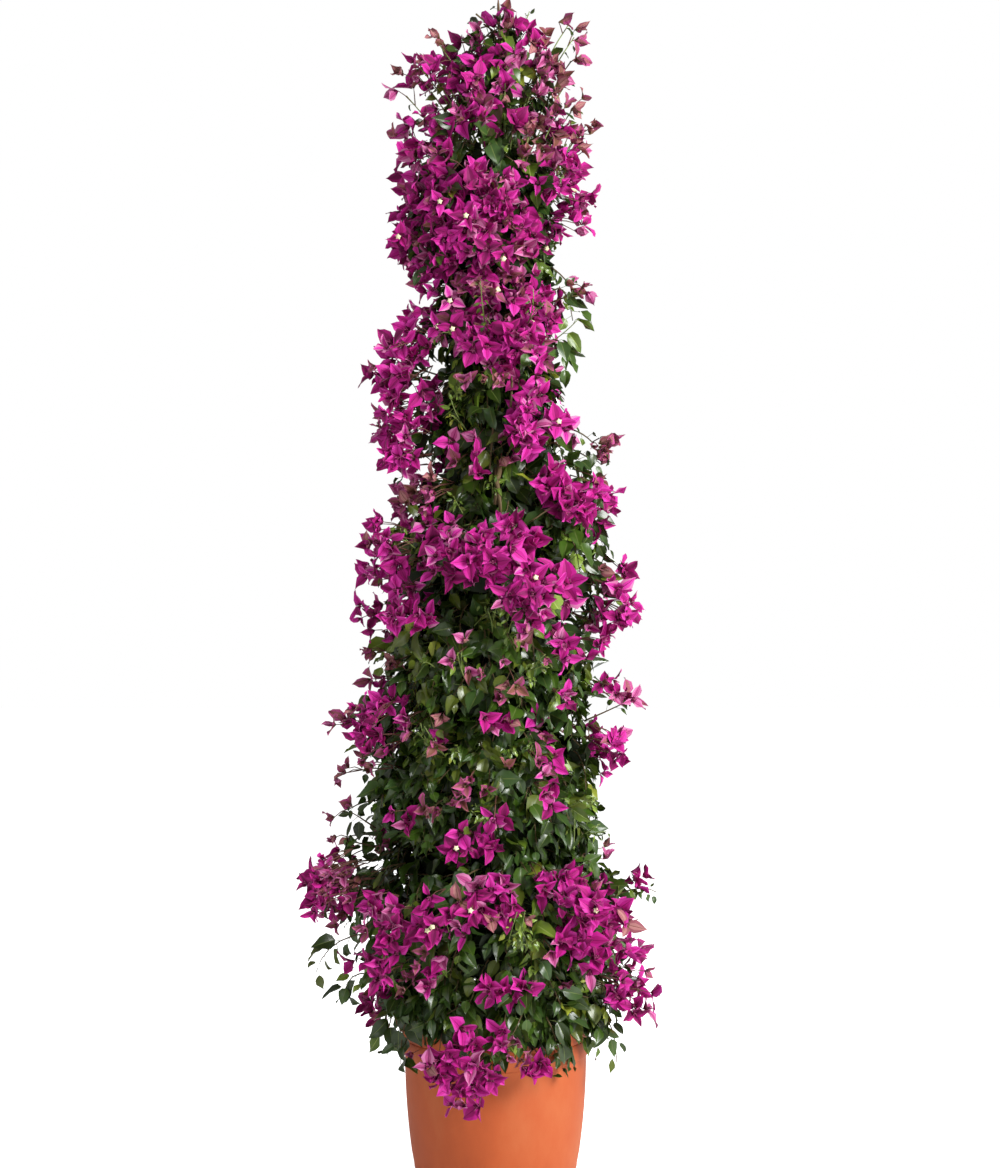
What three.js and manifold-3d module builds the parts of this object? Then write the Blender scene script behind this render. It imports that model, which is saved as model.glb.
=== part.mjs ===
// A bougainvillea trained as a tall column, in a round terracotta-coloured pot.
// Millimetres, +Z up, front towards -Y. The origin is the middle of the pot's underside.
// A place on the plant is given by its height and its bearing round the column:
// bearing 0 is the front, 90 is the right-hand side (+X) and 180 is the back.

import Module from 'manifold-3d';
import * as THREE from 'three';
import { mergeVertices } from 'three/addons/utils/BufferGeometryUtils.js';

const wasm = await Module();
wasm.setup();

// Driving dimensions.

const gap = 0.5; // between touching pieces

const pot = {
  height: 252,
  wall: 3.5,
  floor: 4,
  footFlat: 108, // radius of the flat that it stands on
  footRoundAcross: 22,
  footRoundUp: 26,
  bellyRadius: 138,
  bellyHeight: 90,
  neckRadius: 144.5,
  collarFoot: 200, // height where the collar steps out
  collarStep: 4,
  rimRadius: 150,
  rimRound: 2,
  lipSlope: 0.7,
  facets: 24,
};

const soil = {
  middle: 224, // height of its top at the stem
  flatRadius: 44,
  edge: 215, // height of its top at the wall
  ridge: 3,
};

const stem = {
  foot: soil.middle + gap,
  tip: 1880,
  flareRadius: 25,
  flareHeight: 70,
  lowRadius: 14,
  tipRadius: 2.5,
  lean: 8,
  sway: 7,
  waves: 1.6,
  toes: 3, // ridges of the root flare
  toeDepth: 0.16,
  sides: 8,
  steps: 14,
};

// The column's outline: the radius of the foliage, and how far its middle stands off to the right.
const outline = [
  { height: 150, radius: 178, shift: 4 },
  { height: 290, radius: 232, shift: -2 },
  { height: 430, radius: 226, shift: 0 },
  { height: 540, radius: 214, shift: -18 },
  { height: 620, radius: 206, shift: -16 },
  { height: 700, radius: 196, shift: -8 },
  { height: 800, radius: 188, shift: -8 },
  { height: 1000, radius: 170, shift: 2 },
  { height: 1110, radius: 150, shift: 4 },
  { height: 1220, radius: 118, shift: 8 },
  { height: 1360, radius: 114, shift: 4 },
  { height: 1500, radius: 132, shift: -16 },
  { height: 1600, radius: 132, shift: -10 },
  { height: 1660, radius: 126, shift: -4 },
  { height: 1750, radius: 112, shift: 6 },
  { height: 1800, radius: 92, shift: 18 },
  { height: 1880, radius: 34, shift: 12 },
];

// The space round the stem where the old wood climbs and no leaves grow.
const core = { foot: 150, tip: 1600, footRadius: 62, tipRadius: 9, facets: 6 };

// Rings of leaf masses. Each ring is shared out evenly among its masses, the first at the bearing given.
const leafRings = [
  { place: 'low', height: 415, half: 128, bearings: [-35, 85, 205] },
  { place: 'knee', height: 615, half: 128, bearings: [15, 135, 255] },
  { place: 'hip', height: 820, half: 120, bearings: [-40, 80, 200] },
  { place: 'waist', height: 1020, half: 116, bearings: [20, 140, 260] },
  { place: 'chest', height: 1215, half: 108, bearings: [75, 255] },
  { place: 'shoulder', height: 1395, half: 104, bearings: [-10, 170] },
  { place: 'neck', height: 1570, half: 104, bearings: [80, 260] },
  { place: 'head', height: 1738, half: 98, bearings: [0] },
];
const ringFullness = 3.1; // 2 is an ellipsoid, more is squarer
const ringInset = 10; // the leaf masses stop short of the bloom's outline
const fineRings = 6; // the rings above these have coarser facets
const ringRoughness = 0.1; // height of the lumps as a share of the radius
const ringTilt = 9; // degrees that the parting between two rings slopes
const ringTurn = 137; // degrees round from one parting's slope to the next
const ringUneven = { radius: 12, height: 26 };

// Leaf masses that spill over the rim, each reaching down the pot's side as far as its drop.
const skirtHeight = 268;
const skirtMasses = [
  { place: 'front', bearing: 30, spread: 62, drop: 88, radius: 186 },
  { place: 'right', bearing: 98, spread: 74, drop: 76, radius: 200 },
  { place: 'back', bearing: 182, spread: 94, drop: 92, radius: 194 },
  { place: 'left', bearing: 265, spread: 72, drop: 104, radius: 192 },
];
const skirtRise = 66;
const skirtParting = 326; // height where the skirt gives way to the lowest ring
const skirtFullness = 3.4;
const skirtRoughness = 0.07;

// Bloom masses. Width and tall are half sizes, reach is how far the middle stands off the outline.
const blooms = [
  { place: 'top', height: 1768, bearing: 24, reach: -22, width: 58, tall: 54 },
  { place: 'top_right', height: 1722, bearing: 84, reach: -2, width: 52, tall: 98 },
  { place: 'top_left', height: 1722, bearing: -84, reach: -4, width: 48, tall: 68 },
  { place: 'upper_front', height: 1638, bearing: -24, reach: -10, width: 88, tall: 62 },
  { place: 'upper_right', height: 1562, bearing: 66, reach: -10, width: 56, tall: 56 },
  { place: 'heart', height: 1508, bearing: -32, reach: -6, width: 134, tall: 84 },
  { place: 'breast', height: 1372, bearing: 4, reach: -8, width: 112, tall: 74 },
  { place: 'left_spray', height: 1300, bearing: -78, reach: 50, width: 46, tall: 78 },
  { place: 'left_tail', height: 1184, bearing: -76, reach: 34, width: 44, tall: 66 },
  { place: 'chest', height: 1190, bearing: 36, reach: -18, width: 58, tall: 56 },
  { place: 'shoulder', height: 1088, bearing: 66, reach: -4, width: 62, tall: 52 },
  { place: 'waist_left', height: 962, bearing: -68, reach: 6, width: 70, tall: 100 },
  { place: 'waist_front', height: 1000, bearing: -6, reach: -12, width: 92, tall: 54 },
  { place: 'waist_right', height: 914, bearing: 26, reach: -12, width: 60, tall: 50 },
  { place: 'outer_right', height: 922, bearing: 82, reach: 10, width: 38, tall: 60 },
  { place: 'hip_left', height: 732, bearing: -72, reach: 6, width: 66, tall: 58 },
  { place: 'hip_right', height: 694, bearing: 82, reach: -8, width: 36, tall: 46 },
  { place: 'outer_left', height: 472, bearing: -80, reach: 52, width: 52, tall: 52 },
  { place: 'low_left', height: 408, bearing: -52, reach: -6, width: 58, tall: 76 },
  { place: 'low_front', height: 446, bearing: -9, reach: -14, width: 78, tall: 62 },
  { place: 'low_right', height: 440, bearing: 52, reach: -4, width: 94, tall: 64 },
  { place: 'knee_right', height: 312, bearing: 76, reach: -6, width: 48, tall: 44 },
  { place: 'hanging', height: 212, bearing: -18, reach: -10, width: 54, tall: 62 },
  { place: 'back_low', height: 470, bearing: 170, reach: -10, width: 96, tall: 58 },
  { place: 'back_waist', height: 930, bearing: 205, reach: -8, width: 88, tall: 66 },
  { place: 'back_breast', height: 1330, bearing: 150, reach: -6, width: 86, tall: 84 },
  { place: 'back_neck', height: 1590, bearing: 195, reach: -8, width: 86, tall: 80 },
];
const bloomThickness = 38; // half depth, outwards
const bloomFullness = 2.2;
const bloomRoughness = 0.16;
const largePad = 8000; // width times tall of a pad that needs the finer facets

// Boughs: the height where each leaves the stem, the bloom mass it ends in, and its radii.
const boughs = [
  { place: 'knee_right', from: 262, into: 'knee_right', thick: 7, thin: 3.2 },
  { place: 'outer_left', from: 330, into: 'outer_left', thick: 7.5, thin: 3 },
  { place: 'low_right', from: 300, into: 'low_right', thick: 8, thin: 3.5 },
  { place: 'hip_left', from: 540, into: 'hip_left', thick: 7, thin: 3 },
  { place: 'outer_right', from: 700, into: 'outer_right', thick: 6.5, thin: 2.8 },
  { place: 'waist_left', from: 770, into: 'waist_left', thick: 6, thin: 2.8 },
  { place: 'left_spray', from: 1120, into: 'left_spray', thick: 5, thin: 2.2 },
];
const bough = { sides: 6, steps: 6, arch: 0.3, buried: 22 };

// Where each kind of mass begins its own draw of numbers.
const seeds = { bloom: 3, skirt: 40, ring: 60, perRing: 7 };

const colours = {
  pot: 0xc8703e,
  soil: 0x3a2a1f,
  bark: 0x6f5038,
  leaf: [0x32491d, 0x2b421b, 0x3b5424],
  bloom: [0xa01f84, 0x8e1a73, 0xb0308f],
};
const roughness = { pot: 0.55, soil: 0.95, bark: 0.85, bloom: 0.7, leaf: 0.6 };

// Tools for making solids.

function bareGeometry(geometry) {
  geometry.deleteAttribute('normal');
  geometry.deleteAttribute('uv');
  return mergeVertices(geometry, 1e-4);
}

function toSolid(geometry) {
  const vertProperties = new Float32Array(geometry.getAttribute('position').array);
  const triVerts = new Uint32Array(geometry.getIndex().array);
  return new wasm.Manifold(new wasm.Mesh({ numProp: 3, vertProperties, triVerts }));
}

function toGeometry(solid) {
  const mesh = solid.getMesh();
  const geometry = new THREE.BufferGeometry();
  geometry.setAttribute('position', new THREE.BufferAttribute(mesh.vertProperties, 3));
  geometry.setIndex(new THREE.BufferAttribute(mesh.triVerts, 1));
  geometry.computeVertexNormals();
  return geometry;
}

// A solid of revolution round the Z axis, from [radius, height] pairs.
function turned(profile, facets) {
  const points = profile.map(([radius, height]) => new THREE.Vector2(radius, height));
  const geometry = bareGeometry(new THREE.LatheGeometry(points, facets));
  geometry.rotateX(Math.PI / 2);
  return toSolid(geometry);
}

// A repeatable draw of numbers from 0 to 1.
function numberDraw(seed) {
  let state = seed * 7919 + 17;
  return () => {
    state = (state * 16807) % 2147483647;
    return state / 2147483647;
  };
}

// Soft lumps over a ball: a smooth number from about -1 to 1 for each direction.
function lumpField(seed) {
  const draw = numberDraw(seed);
  const waves = [2.2, 3.1, 4.3, 5.6].map((pitch) => ({
    pitch,
    phase: draw() * Math.PI * 2,
    towards: new THREE.Vector3(draw() - 0.5, draw() - 0.5, draw() - 0.5).normalize(),
  }));
  return (direction) => {
    const total = waves.reduce(
      (sum, wave) => sum + Math.sin(wave.pitch * direction.dot(wave.towards) * 1.6 + wave.phase), 0);
    return total / 2.4;
  };
}

// An uneven rounded solid about the origin. fullness 2 is an ellipsoid, more is squarer up and down.
function unevenBall(seed, half, lumpHeight, fullness, detail) {
  const geometry = bareGeometry(new THREE.IcosahedronGeometry(1, detail));
  const position = geometry.getAttribute('position');
  const lumps = lumpField(seed);
  const direction = new THREE.Vector3();
  for (let index = 0; index < position.count; index += 1) {
    direction.fromBufferAttribute(position, index).normalize();
    const flat = Math.hypot(direction.x, direction.y);
    const square = (flat ** fullness + Math.abs(direction.z) ** fullness) ** (-1 / fullness);
    const size = square * (1 + lumpHeight * lumps(direction));
    direction.multiply(half).multiplyScalar(size);
    position.setXYZ(index, direction.x, direction.y, direction.z);
  }
  return geometry;
}

// A tapering round limb along a curve, with a flat cut at each end.
function taperedLimb(curve, radiusAt, sides, steps) {
  const geometry = bareGeometry(new THREE.CylinderGeometry(1, 1, 1, sides, steps));
  const frames = curve.computeFrenetFrames(steps, false);
  const position = geometry.getAttribute('position');
  const vertex = new THREE.Vector3();
  for (let index = 0; index < position.count; index += 1) {
    vertex.fromBufferAttribute(position, index);
    const step = Math.round((vertex.y + 0.5) * steps);
    const along = step / steps;
    const radius = radiusAt(along, Math.atan2(vertex.z, vertex.x));
    const centre = curve.getPointAt(along);
    centre.addScaledVector(frames.binormals[step], vertex.x * radius);
    centre.addScaledVector(frames.normals[step], vertex.z * radius);
    position.setXYZ(index, centre.x, centre.y, centre.z);
  }
  return geometry;
}

// Places on the column.

function outlineAt(height) {
  const above = outline.findIndex((row) => row.height >= height);
  if (above <= 0) {
    return above === 0 ? outline[0] : outline[outline.length - 1];
  }
  const low = outline[above - 1];
  const high = outline[above];
  const share = (height - low.height) / (high.height - low.height);
  return {
    radius: THREE.MathUtils.lerp(low.radius, high.radius, share),
    shift: THREE.MathUtils.lerp(low.shift, high.shift, share),
  };
}

function outwards(bearing) {
  const angle = THREE.MathUtils.degToRad(bearing);
  return new THREE.Vector3(Math.sin(angle), -Math.cos(angle), 0);
}

function onColumn(height, bearing, reach) {
  const { radius, shift } = outlineAt(height);
  return new THREE.Vector3(shift, 0, height).addScaledVector(outwards(bearing), radius + reach);
}

// The pot and the soil in it.

function footRound(flatRadius, level, across, up) {
  const stops = 3;
  return Array.from({ length: stops + 1 }, (_, stop) => {
    const angle = (stop / stops) * Math.PI * 0.5;
    return [flatRadius + across * Math.sin(angle), level + up * (1 - Math.cos(angle))];
  });
}

function potOutside() {
  return [
    ...footRound(pot.footFlat, 0, pot.footRoundAcross, pot.footRoundUp),
    [pot.bellyRadius, pot.bellyHeight],
    [pot.neckRadius, pot.collarFoot],
    [pot.neckRadius + pot.collarStep, pot.collarFoot + pot.collarStep],
    [pot.rimRadius, pot.height - pot.rimRound],
    [pot.rimRadius - pot.rimRound * 0.6, pot.height],
  ];
}

// The inside wall, from the floor up to the height given, set back from the outside by the inset.
function potInside(level, inset, top) {
  const footHeight = pot.footRoundUp + pot.floor;
  return [
    [pot.footFlat - inset, level],
    [pot.footFlat + pot.footRoundAcross - inset - 1, footHeight + level],
    [pot.bellyRadius - inset, pot.bellyHeight],
    [pot.neckRadius - inset, top],
  ];
}

function makePot() {
  const inside = potInside(pot.floor, pot.wall, pot.collarFoot);
  const lip = [
    [pot.rimRadius - pot.wall, pot.height],
    [pot.rimRadius - pot.wall - pot.lipSlope, pot.collarFoot + pot.collarStep * 1.5],
  ];
  return turned([[0, 0], ...potOutside(), ...lip, ...inside.reverse(), [0, pot.floor]], pot.facets);
}

function makeSoil() {
  const inset = pot.wall + gap + 0.4;
  const side = potInside(pot.floor + gap, inset, pot.collarFoot);
  const top = [
    [pot.rimRadius - inset - 2.2, soil.edge],
    [soil.flatRadius * 2, soil.edge + soil.ridge],
    [soil.flatRadius, soil.middle],
    [0, soil.middle],
  ];
  return turned([[0, pot.floor + gap], ...side, ...top], pot.facets);
}

// The pot's outside and all the air above its soil as one plug, which the foliage is kept out of.
function makePotPlug() {
  const clear = 1.5;
  const top = pot.height + clear;
  const rows = [[0, -clear], [pot.rimRadius + clear, -clear], [pot.rimRadius + clear, top], [0, top]];
  return turned(rows, pot.facets);
}

// The stem and its boughs.

function stemCentre(along) {
  const turn = along * stem.waves * Math.PI * 2;
  const growing = Math.min(along * 4, 1);
  return new THREE.Vector3(
    stem.lean * along + stem.sway * growing * Math.sin(turn),
    stem.sway * growing * Math.cos(turn) - stem.sway * growing,
    THREE.MathUtils.lerp(stem.foot, stem.tip, along),
  );
}

function stemCurve() {
  const stops = 14;
  const points = Array.from({ length: stops + 1 }, (_, stop) => stemCentre(stop / stops));
  return new THREE.CatmullRomCurve3(points);
}

function makeStem(extra) {
  const length = stem.tip - stem.foot;
  const radiusAt = (along, angle) => {
    const flare = Math.exp((-along * length * 2.4) / stem.flareHeight);
    const toes = 1 + stem.toeDepth * flare * Math.cos(stem.toes * angle);
    const taper = THREE.MathUtils.lerp(stem.lowRadius, stem.tipRadius, along ** 0.9);
    return (taper + (stem.flareRadius - stem.lowRadius) * flare) * toes + extra;
  };
  const geometry = taperedLimb(stemCurve(), radiusAt, stem.sides, stem.steps);
  const position = geometry.getAttribute('position');
  for (let index = 0; index < position.count; index += 1) {
    const height = position.getZ(index);
    // The foot is one level cut, resting on the soil.
    position.setZ(index, height < stem.foot + 2 ? stem.foot : height);
  }
  return toSolid(geometry);
}

function bloomCentre(place) {
  const mass = blooms.find((row) => row.place === place);
  return onColumn(mass.height, mass.bearing, mass.reach);
}

function makeBough(row, extra) {
  const start = stemCentre((row.from - stem.foot) / (stem.tip - stem.foot));
  const aim = bloomCentre(row.into);
  const end = aim.clone().lerp(start, bough.buried / aim.distanceTo(start));
  const rise = end.z - start.z;
  const middle = start.clone().lerp(end, 0.5).add(new THREE.Vector3(0, 0, rise * bough.arch * 0.5));
  const curve = new THREE.CatmullRomCurve3([start, middle, end]);
  const radiusAt = (along) => THREE.MathUtils.lerp(row.thick, row.thin, along) + extra;
  return toSolid(taperedLimb(curve, radiusAt, bough.sides, bough.steps));
}

function makeCore() {
  return turned([
    [0, core.foot],
    [core.footRadius, core.foot],
    [core.tipRadius, core.tip],
    [0, core.tip],
  ], core.facets);
}

// Masses of leaves and bloom.

// A bloom mass is a pad that follows the column round: its width is measured along the outline.
function makeBloom(row, index, extra) {
  const half = new THREE.Vector3(row.width + extra, bloomThickness + extra, row.tall + extra);
  const detail = row.width * row.tall > largePad ? 2 : 1;
  const geometry = unevenBall(seeds.bloom + index, half, bloomRoughness, bloomFullness, detail);
  const position = geometry.getAttribute('position');
  const { radius, shift } = outlineAt(row.height);
  const middle = radius + row.reach;
  for (let vertex = 0; vertex < position.count; vertex += 1) {
    const bearing = row.bearing + THREE.MathUtils.radToDeg(position.getX(vertex) / middle);
    const place = outwards(bearing).multiplyScalar(middle - position.getY(vertex));
    position.setXYZ(vertex, place.x + shift, place.y, row.height + position.getZ(vertex));
  }
  return toSolid(geometry);
}

// Cuts a ball down to the wedge that spreads evenly to both sides of a bearing.
function wedge(solid, centre, bearing, spread) {
  const sides = spread < 360 ? [-1, 1] : [];
  return sides.reduce((kept, side) => {
    const inward = outwards(bearing + side * (spread / 2 - 90));
    const offset = inward.dot(centre) + gap;
    return kept.trimByPlane([inward.x, inward.y, 0], offset);
  }, solid);
}

// The sloping plane between a ring and the one below it. Level 0 parts the lowest ring from the skirt.
function partingBelow(level) {
  const height = level === 0 ? skirtParting : (leafRings[level - 1].height + leafRings[level].height) / 2;
  const tilt = THREE.MathUtils.degToRad(level === 0 ? 0 : ringTilt);
  const normal = outwards(level * ringTurn).multiplyScalar(Math.sin(tilt));
  normal.z = Math.cos(tilt);
  return { normal, offset: height * normal.z };
}

function keepAbove(solid, { normal, offset }) {
  return solid.trimByPlane(normal.toArray(), offset + gap / 2);
}

function keepBelow(solid, { normal, offset }) {
  return solid.trimByPlane(normal.clone().negate().toArray(), gap / 2 - offset);
}

function makeLeafSector(level, index, seed) {
  const ring = leafRings[level];
  const { radius, shift } = outlineAt(ring.height);
  const draw = numberDraw(seed);
  const width = radius - ringInset + (draw() - 0.5) * ringUneven.radius;
  const height = ring.height + (draw() - 0.5) * ringUneven.height;
  const half = new THREE.Vector3(width, width, ring.half);
  const detail = level < fineRings ? 2 : 1;
  const geometry = unevenBall(seed, half, ringRoughness, ringFullness, detail);
  geometry.translate(shift, 0, height);
  const middle = new THREE.Vector3(shift, 0, 0);
  const sector = wedge(toSolid(geometry), middle, ring.bearings[index], 360 / ring.bearings.length);
  const lifted = keepAbove(sector, partingBelow(level));
  return level + 1 < leafRings.length ? keepBelow(lifted, partingBelow(level + 1)) : lifted;
}

function makeSkirt(row, seed) {
  const half = new THREE.Vector3(row.radius, row.radius, (row.drop + skirtRise) / 2);
  const geometry = unevenBall(seed, half, skirtRoughness, skirtFullness, 2);
  geometry.translate(0, 0, skirtHeight + (skirtRise - row.drop) / 2);
  const sector = wedge(toSolid(geometry), new THREE.Vector3(), row.bearing, row.spread);
  return keepBelow(sector, partingBelow(0));
}

function largestPiece(solid) {
  return solid.decompose().reduce((best, piece) => (piece.volume() > best.volume() ? piece : best));
}

// Each new solid is cut by everything already standing where it would be.
function cutBy(solid, obstacles) {
  return largestPiece(obstacles.reduce((kept, obstacle) => kept.subtract(obstacle), solid));
}

// Put together: pot, soil and wood first, then bloom, and the leaves fill in between.

const bougainvillea = new THREE.Group();
bougainvillea.name = 'bougainvillea';

function addPiece(name, solid, colour, dullness) {
  const material = new THREE.MeshStandardMaterial({ color: colour, roughness: dullness, metalness: 0 });
  const mesh = new THREE.Mesh(toGeometry(solid), material);
  mesh.name = name;
  bougainvillea.add(mesh);
}

addPiece('pot', makePot(), colours.pot, roughness.pot);
addPiece('soil', makeSoil(), colours.soil, roughness.soil);
addPiece('main_stem', makeStem(0), colours.bark, roughness.bark);

const wood = [makeStem(gap)];
for (const row of boughs) {
  addPiece(`bough_${row.place}`, cutBy(makeBough(row, 0), wood), colours.bark, roughness.bark);
  wood.push(makeBough(row, gap));
}

const plug = makePotPlug();
const standing = [plug, ...wood];
blooms.forEach((row, index) => {
  const tint = colours.bloom[index % colours.bloom.length];
  addPiece(`bloom_${row.place}`, cutBy(makeBloom(row, index, 0), standing), tint, roughness.bloom);
  standing.push(makeBloom(row, index, gap));
});

standing.push(makeCore());
skirtMasses.forEach((row, index) => {
  const tint = colours.leaf[index % colours.leaf.length];
  const skirt = makeSkirt(row, seeds.skirt + index);
  addPiece(`leaf_skirt_${row.place}`, cutBy(skirt, standing), tint, roughness.leaf);
});

leafRings.forEach((ring, level) => {
  ring.bearings.forEach((_, index) => {
    const side = 'abc'[index];
    const tint = colours.leaf[(level + index) % colours.leaf.length];
    const sector = makeLeafSector(level, index, seeds.ring + level * seeds.perRing + index);
    addPiece(`leaf_${ring.place}_${side}`, cutBy(sector, standing), tint, roughness.leaf);
  });
});

export default bougainvillea;
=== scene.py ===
# A bougainvillea grown as a tall column in a terracotta-coloured pot.
# Metres, +Z up, front towards -Y. The pot, the stem and the masses that the foliage fills
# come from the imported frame.
import math

import bpy
import numpy as np
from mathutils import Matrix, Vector, noise
from mathutils.bvhtree import BVHTree
from mathutils.kdtree import KDTree


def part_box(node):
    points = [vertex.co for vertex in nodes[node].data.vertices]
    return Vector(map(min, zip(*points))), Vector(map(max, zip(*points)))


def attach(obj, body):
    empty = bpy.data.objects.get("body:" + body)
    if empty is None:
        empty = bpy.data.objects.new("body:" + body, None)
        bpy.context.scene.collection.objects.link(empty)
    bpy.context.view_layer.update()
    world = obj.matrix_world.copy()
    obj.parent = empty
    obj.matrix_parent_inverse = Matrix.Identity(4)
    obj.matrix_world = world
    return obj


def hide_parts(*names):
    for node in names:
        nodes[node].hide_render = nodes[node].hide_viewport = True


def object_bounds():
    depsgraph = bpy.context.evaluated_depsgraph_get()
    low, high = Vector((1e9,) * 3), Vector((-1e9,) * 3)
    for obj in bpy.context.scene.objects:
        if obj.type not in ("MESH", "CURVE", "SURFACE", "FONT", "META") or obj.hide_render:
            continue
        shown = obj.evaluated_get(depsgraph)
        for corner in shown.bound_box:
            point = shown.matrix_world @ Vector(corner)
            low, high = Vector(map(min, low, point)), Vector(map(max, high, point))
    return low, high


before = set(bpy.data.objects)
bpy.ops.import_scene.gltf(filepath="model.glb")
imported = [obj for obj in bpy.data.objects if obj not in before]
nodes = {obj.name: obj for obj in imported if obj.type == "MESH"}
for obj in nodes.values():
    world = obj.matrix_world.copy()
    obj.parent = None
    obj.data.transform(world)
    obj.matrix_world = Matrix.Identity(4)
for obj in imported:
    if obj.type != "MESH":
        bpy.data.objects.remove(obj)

cadLow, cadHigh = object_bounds()
leafNodes = sorted(name for name in nodes if name.startswith("leaf_"))
bloomNodes = sorted(name for name in nodes if name.startswith("bloom_"))
woodNodes = ["main_stem"] + sorted(name for name in nodes if name.startswith("bough_"))
potLow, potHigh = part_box("pot")
soilLow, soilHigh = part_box("soil")
up = Vector((0, 0, 1))
mm = 0.001


studio = {
    "eyeDistance": 3.2,
    "eyeSide": 0.007,
    "eyeLevel": 0.503,  # share of the plant's height
    "lens": 61.8,
    "floorSize": 24.0,
    "floorColour": (0.86, 0.86, 0.86),
    "floorGlow": 0.84,
    "skySeen": 1.0,
    "skyLight": 0.30,
    "keyPlace": (2.3, -2.1, 2.1),
    "keySize": 1.5,
    "keyPower": 150,
    "fillPlace": (-2.6, -2.6, 1.5),
    "fillSize": 2.2,
    "fillPower": 16,
    "rimPlace": (0.8, 2.6, 2.4),
    "rimSize": 1.6,
    "rimPower": 80,
}
eyePlace = Vector((studio["eyeSide"], -studio["eyeDistance"], cadHigh.z * studio["eyeLevel"]))


def addLamp(name, place, size, power, aim):
    lamp = bpy.data.lights.new(name, "AREA")
    lamp.shape = "DISK"
    lamp.size = size
    lamp.energy = power
    holder = bpy.data.objects.new(name, lamp)
    holder.location = place
    holder.rotation_euler = (aim - Vector(place)).to_track_quat("-Z", "Y").to_euler()
    bpy.context.scene.collection.objects.link(holder)


def makeStudio():
    scene = bpy.context.scene
    scene.view_settings.view_transform = "Standard"
    lens = bpy.data.cameras.new("eye")
    lens.lens = studio["lens"]
    lens.sensor_width = 36
    eye = bpy.data.objects.new("eye", lens)
    eye.location = eyePlace
    eye.rotation_euler = (math.pi / 2, 0, 0)
    scene.collection.objects.link(eye)
    scene.camera = eye

    middle = Vector((0, 0, eyePlace.z))
    for lamp in ("key", "fill", "rim"):
        place, size, power = (studio[lamp + part] for part in ("Place", "Size", "Power"))
        addLamp(lamp + "Lamp", place, size, power, middle)

    world = bpy.data.worlds.new("paleSky")
    scene.world = world
    world.use_nodes = True
    tree = world.node_tree
    background = tree.nodes["Background"]
    path = tree.nodes.new("ShaderNodeLightPath")
    level = tree.nodes.new("ShaderNodeMapRange")
    level.inputs["To Min"].default_value = studio["skyLight"]
    level.inputs["To Max"].default_value = studio["skySeen"]
    tree.links.new(path.outputs["Is Camera Ray"], level.inputs["Value"])
    tree.links.new(level.outputs["Result"], background.inputs["Strength"])
    background.inputs["Color"].default_value = (1, 1, 1, 1)

    bpy.ops.object.select_all(action="DESELECT")
    bpy.ops.mesh.primitive_plane_add(size=studio["floorSize"], location=(0, 0, 0))
    floor = bpy.context.active_object
    floor.name = "floor"
    paint = bpy.data.materials.new("palePaint")
    paint.use_nodes = True
    tree = paint.node_tree
    shader = tree.nodes["Principled BSDF"]
    shader.inputs["Base Color"].default_value = (*studio["floorColour"], 1)
    shader.inputs["Roughness"].default_value = 0.9
    shader.inputs["Specular IOR Level"].default_value = 0.1
    shader.inputs["Emission Color"].default_value = (1, 1, 1, 1)
    path = tree.nodes.new("ShaderNodeLightPath")
    glow = tree.nodes.new("ShaderNodeMath")
    glow.operation = "MULTIPLY"
    glow.inputs[1].default_value = studio["floorGlow"]
    tree.links.new(path.outputs["Is Camera Ray"], glow.inputs[0])
    tree.links.new(glow.outputs[0], shader.inputs["Emission Strength"])
    floor.data.materials.append(paint)


makeStudio()
print("studio ready")


def colourOf(red, green, blue):
    # A colour as seen on a screen, 0 to 255, turned into a linear one.
    def linear(value):
        share = value / 255
        return share / 12.92 if share <= 0.04045 else ((share + 0.055) / 1.055) ** 2.4
    return (linear(red), linear(green), linear(blue), 1)


def plainFinish(name, colour, roughness, shine=0.5, velvet=0.0, glaze=0.0):
    finish = bpy.data.materials.new(name)
    finish.use_nodes = True
    shader = finish.node_tree.nodes["Principled BSDF"]
    shader.inputs["Base Color"].default_value = colourOf(*colour)
    shader.inputs["Roughness"].default_value = roughness
    shader.inputs["Specular IOR Level"].default_value = shine
    shader.inputs["Sheen Weight"].default_value = velvet
    shader.inputs["Sheen Roughness"].default_value = 0.4
    shader.inputs["Coat Weight"].default_value = glaze
    shader.inputs["Coat Roughness"].default_value = 0.25
    finish.diffuse_color = colourOf(*colour)
    return finish


leafFinish = {
    "deep": (43, 63, 14),
    "mid": (62, 90, 23),
    "blue": (54, 80, 33),
    "olive": (84, 96, 28),
    "fresh": (90, 114, 34),
    "light": (126, 152, 54),
    "yellow": (156, 166, 56),
}
leafTints = list(leafFinish)
lightLeaves = ("fresh", "light", "yellow")
ribFinish = {"ribDark": (92, 108, 50), "ribLight": (158, 176, 92)}

bractFinish = {
    "vivid": (190, 27, 138),
    "rich": (164, 17, 112),
    "hot": (206, 54, 160),
    "purple": (126, 15, 84),
    "rose": (182, 76, 134),
    "pale": (206, 120, 168),
    "dusty": (156, 88, 100),
    "faded": (180, 124, 122),
    "russet": (124, 76, 62),
}
# The paler margin that goes with each.
marginOf = {
    "vivid": "hot", "rich": "vivid", "hot": "pale", "purple": "rich", "rose": "pale", "pale": "rose",
    "dusty": "rose", "faded": "dusty", "russet": "dusty",
}
bractTints = list(bractFinish)
dullTints = ("dusty", "faded", "russet")
veinFinish = {"veinDeep": (118, 16, 80), "veinDusty": (112, 76, 60)}
# Darker foot of each bract: painted shade in the cup where the three bracts meet; on dull bracts partly
# their own brown-green base too.
throatShadeFinish = {"throatDeep": (104, 14, 66), "throatDusty": (118, 92, 62)}


def newFinish(name):
    finish = bpy.data.materials.new(name)
    finish.use_nodes = True
    return finish, finish.node_tree, finish.node_tree.nodes["Principled BSDF"]


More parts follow.
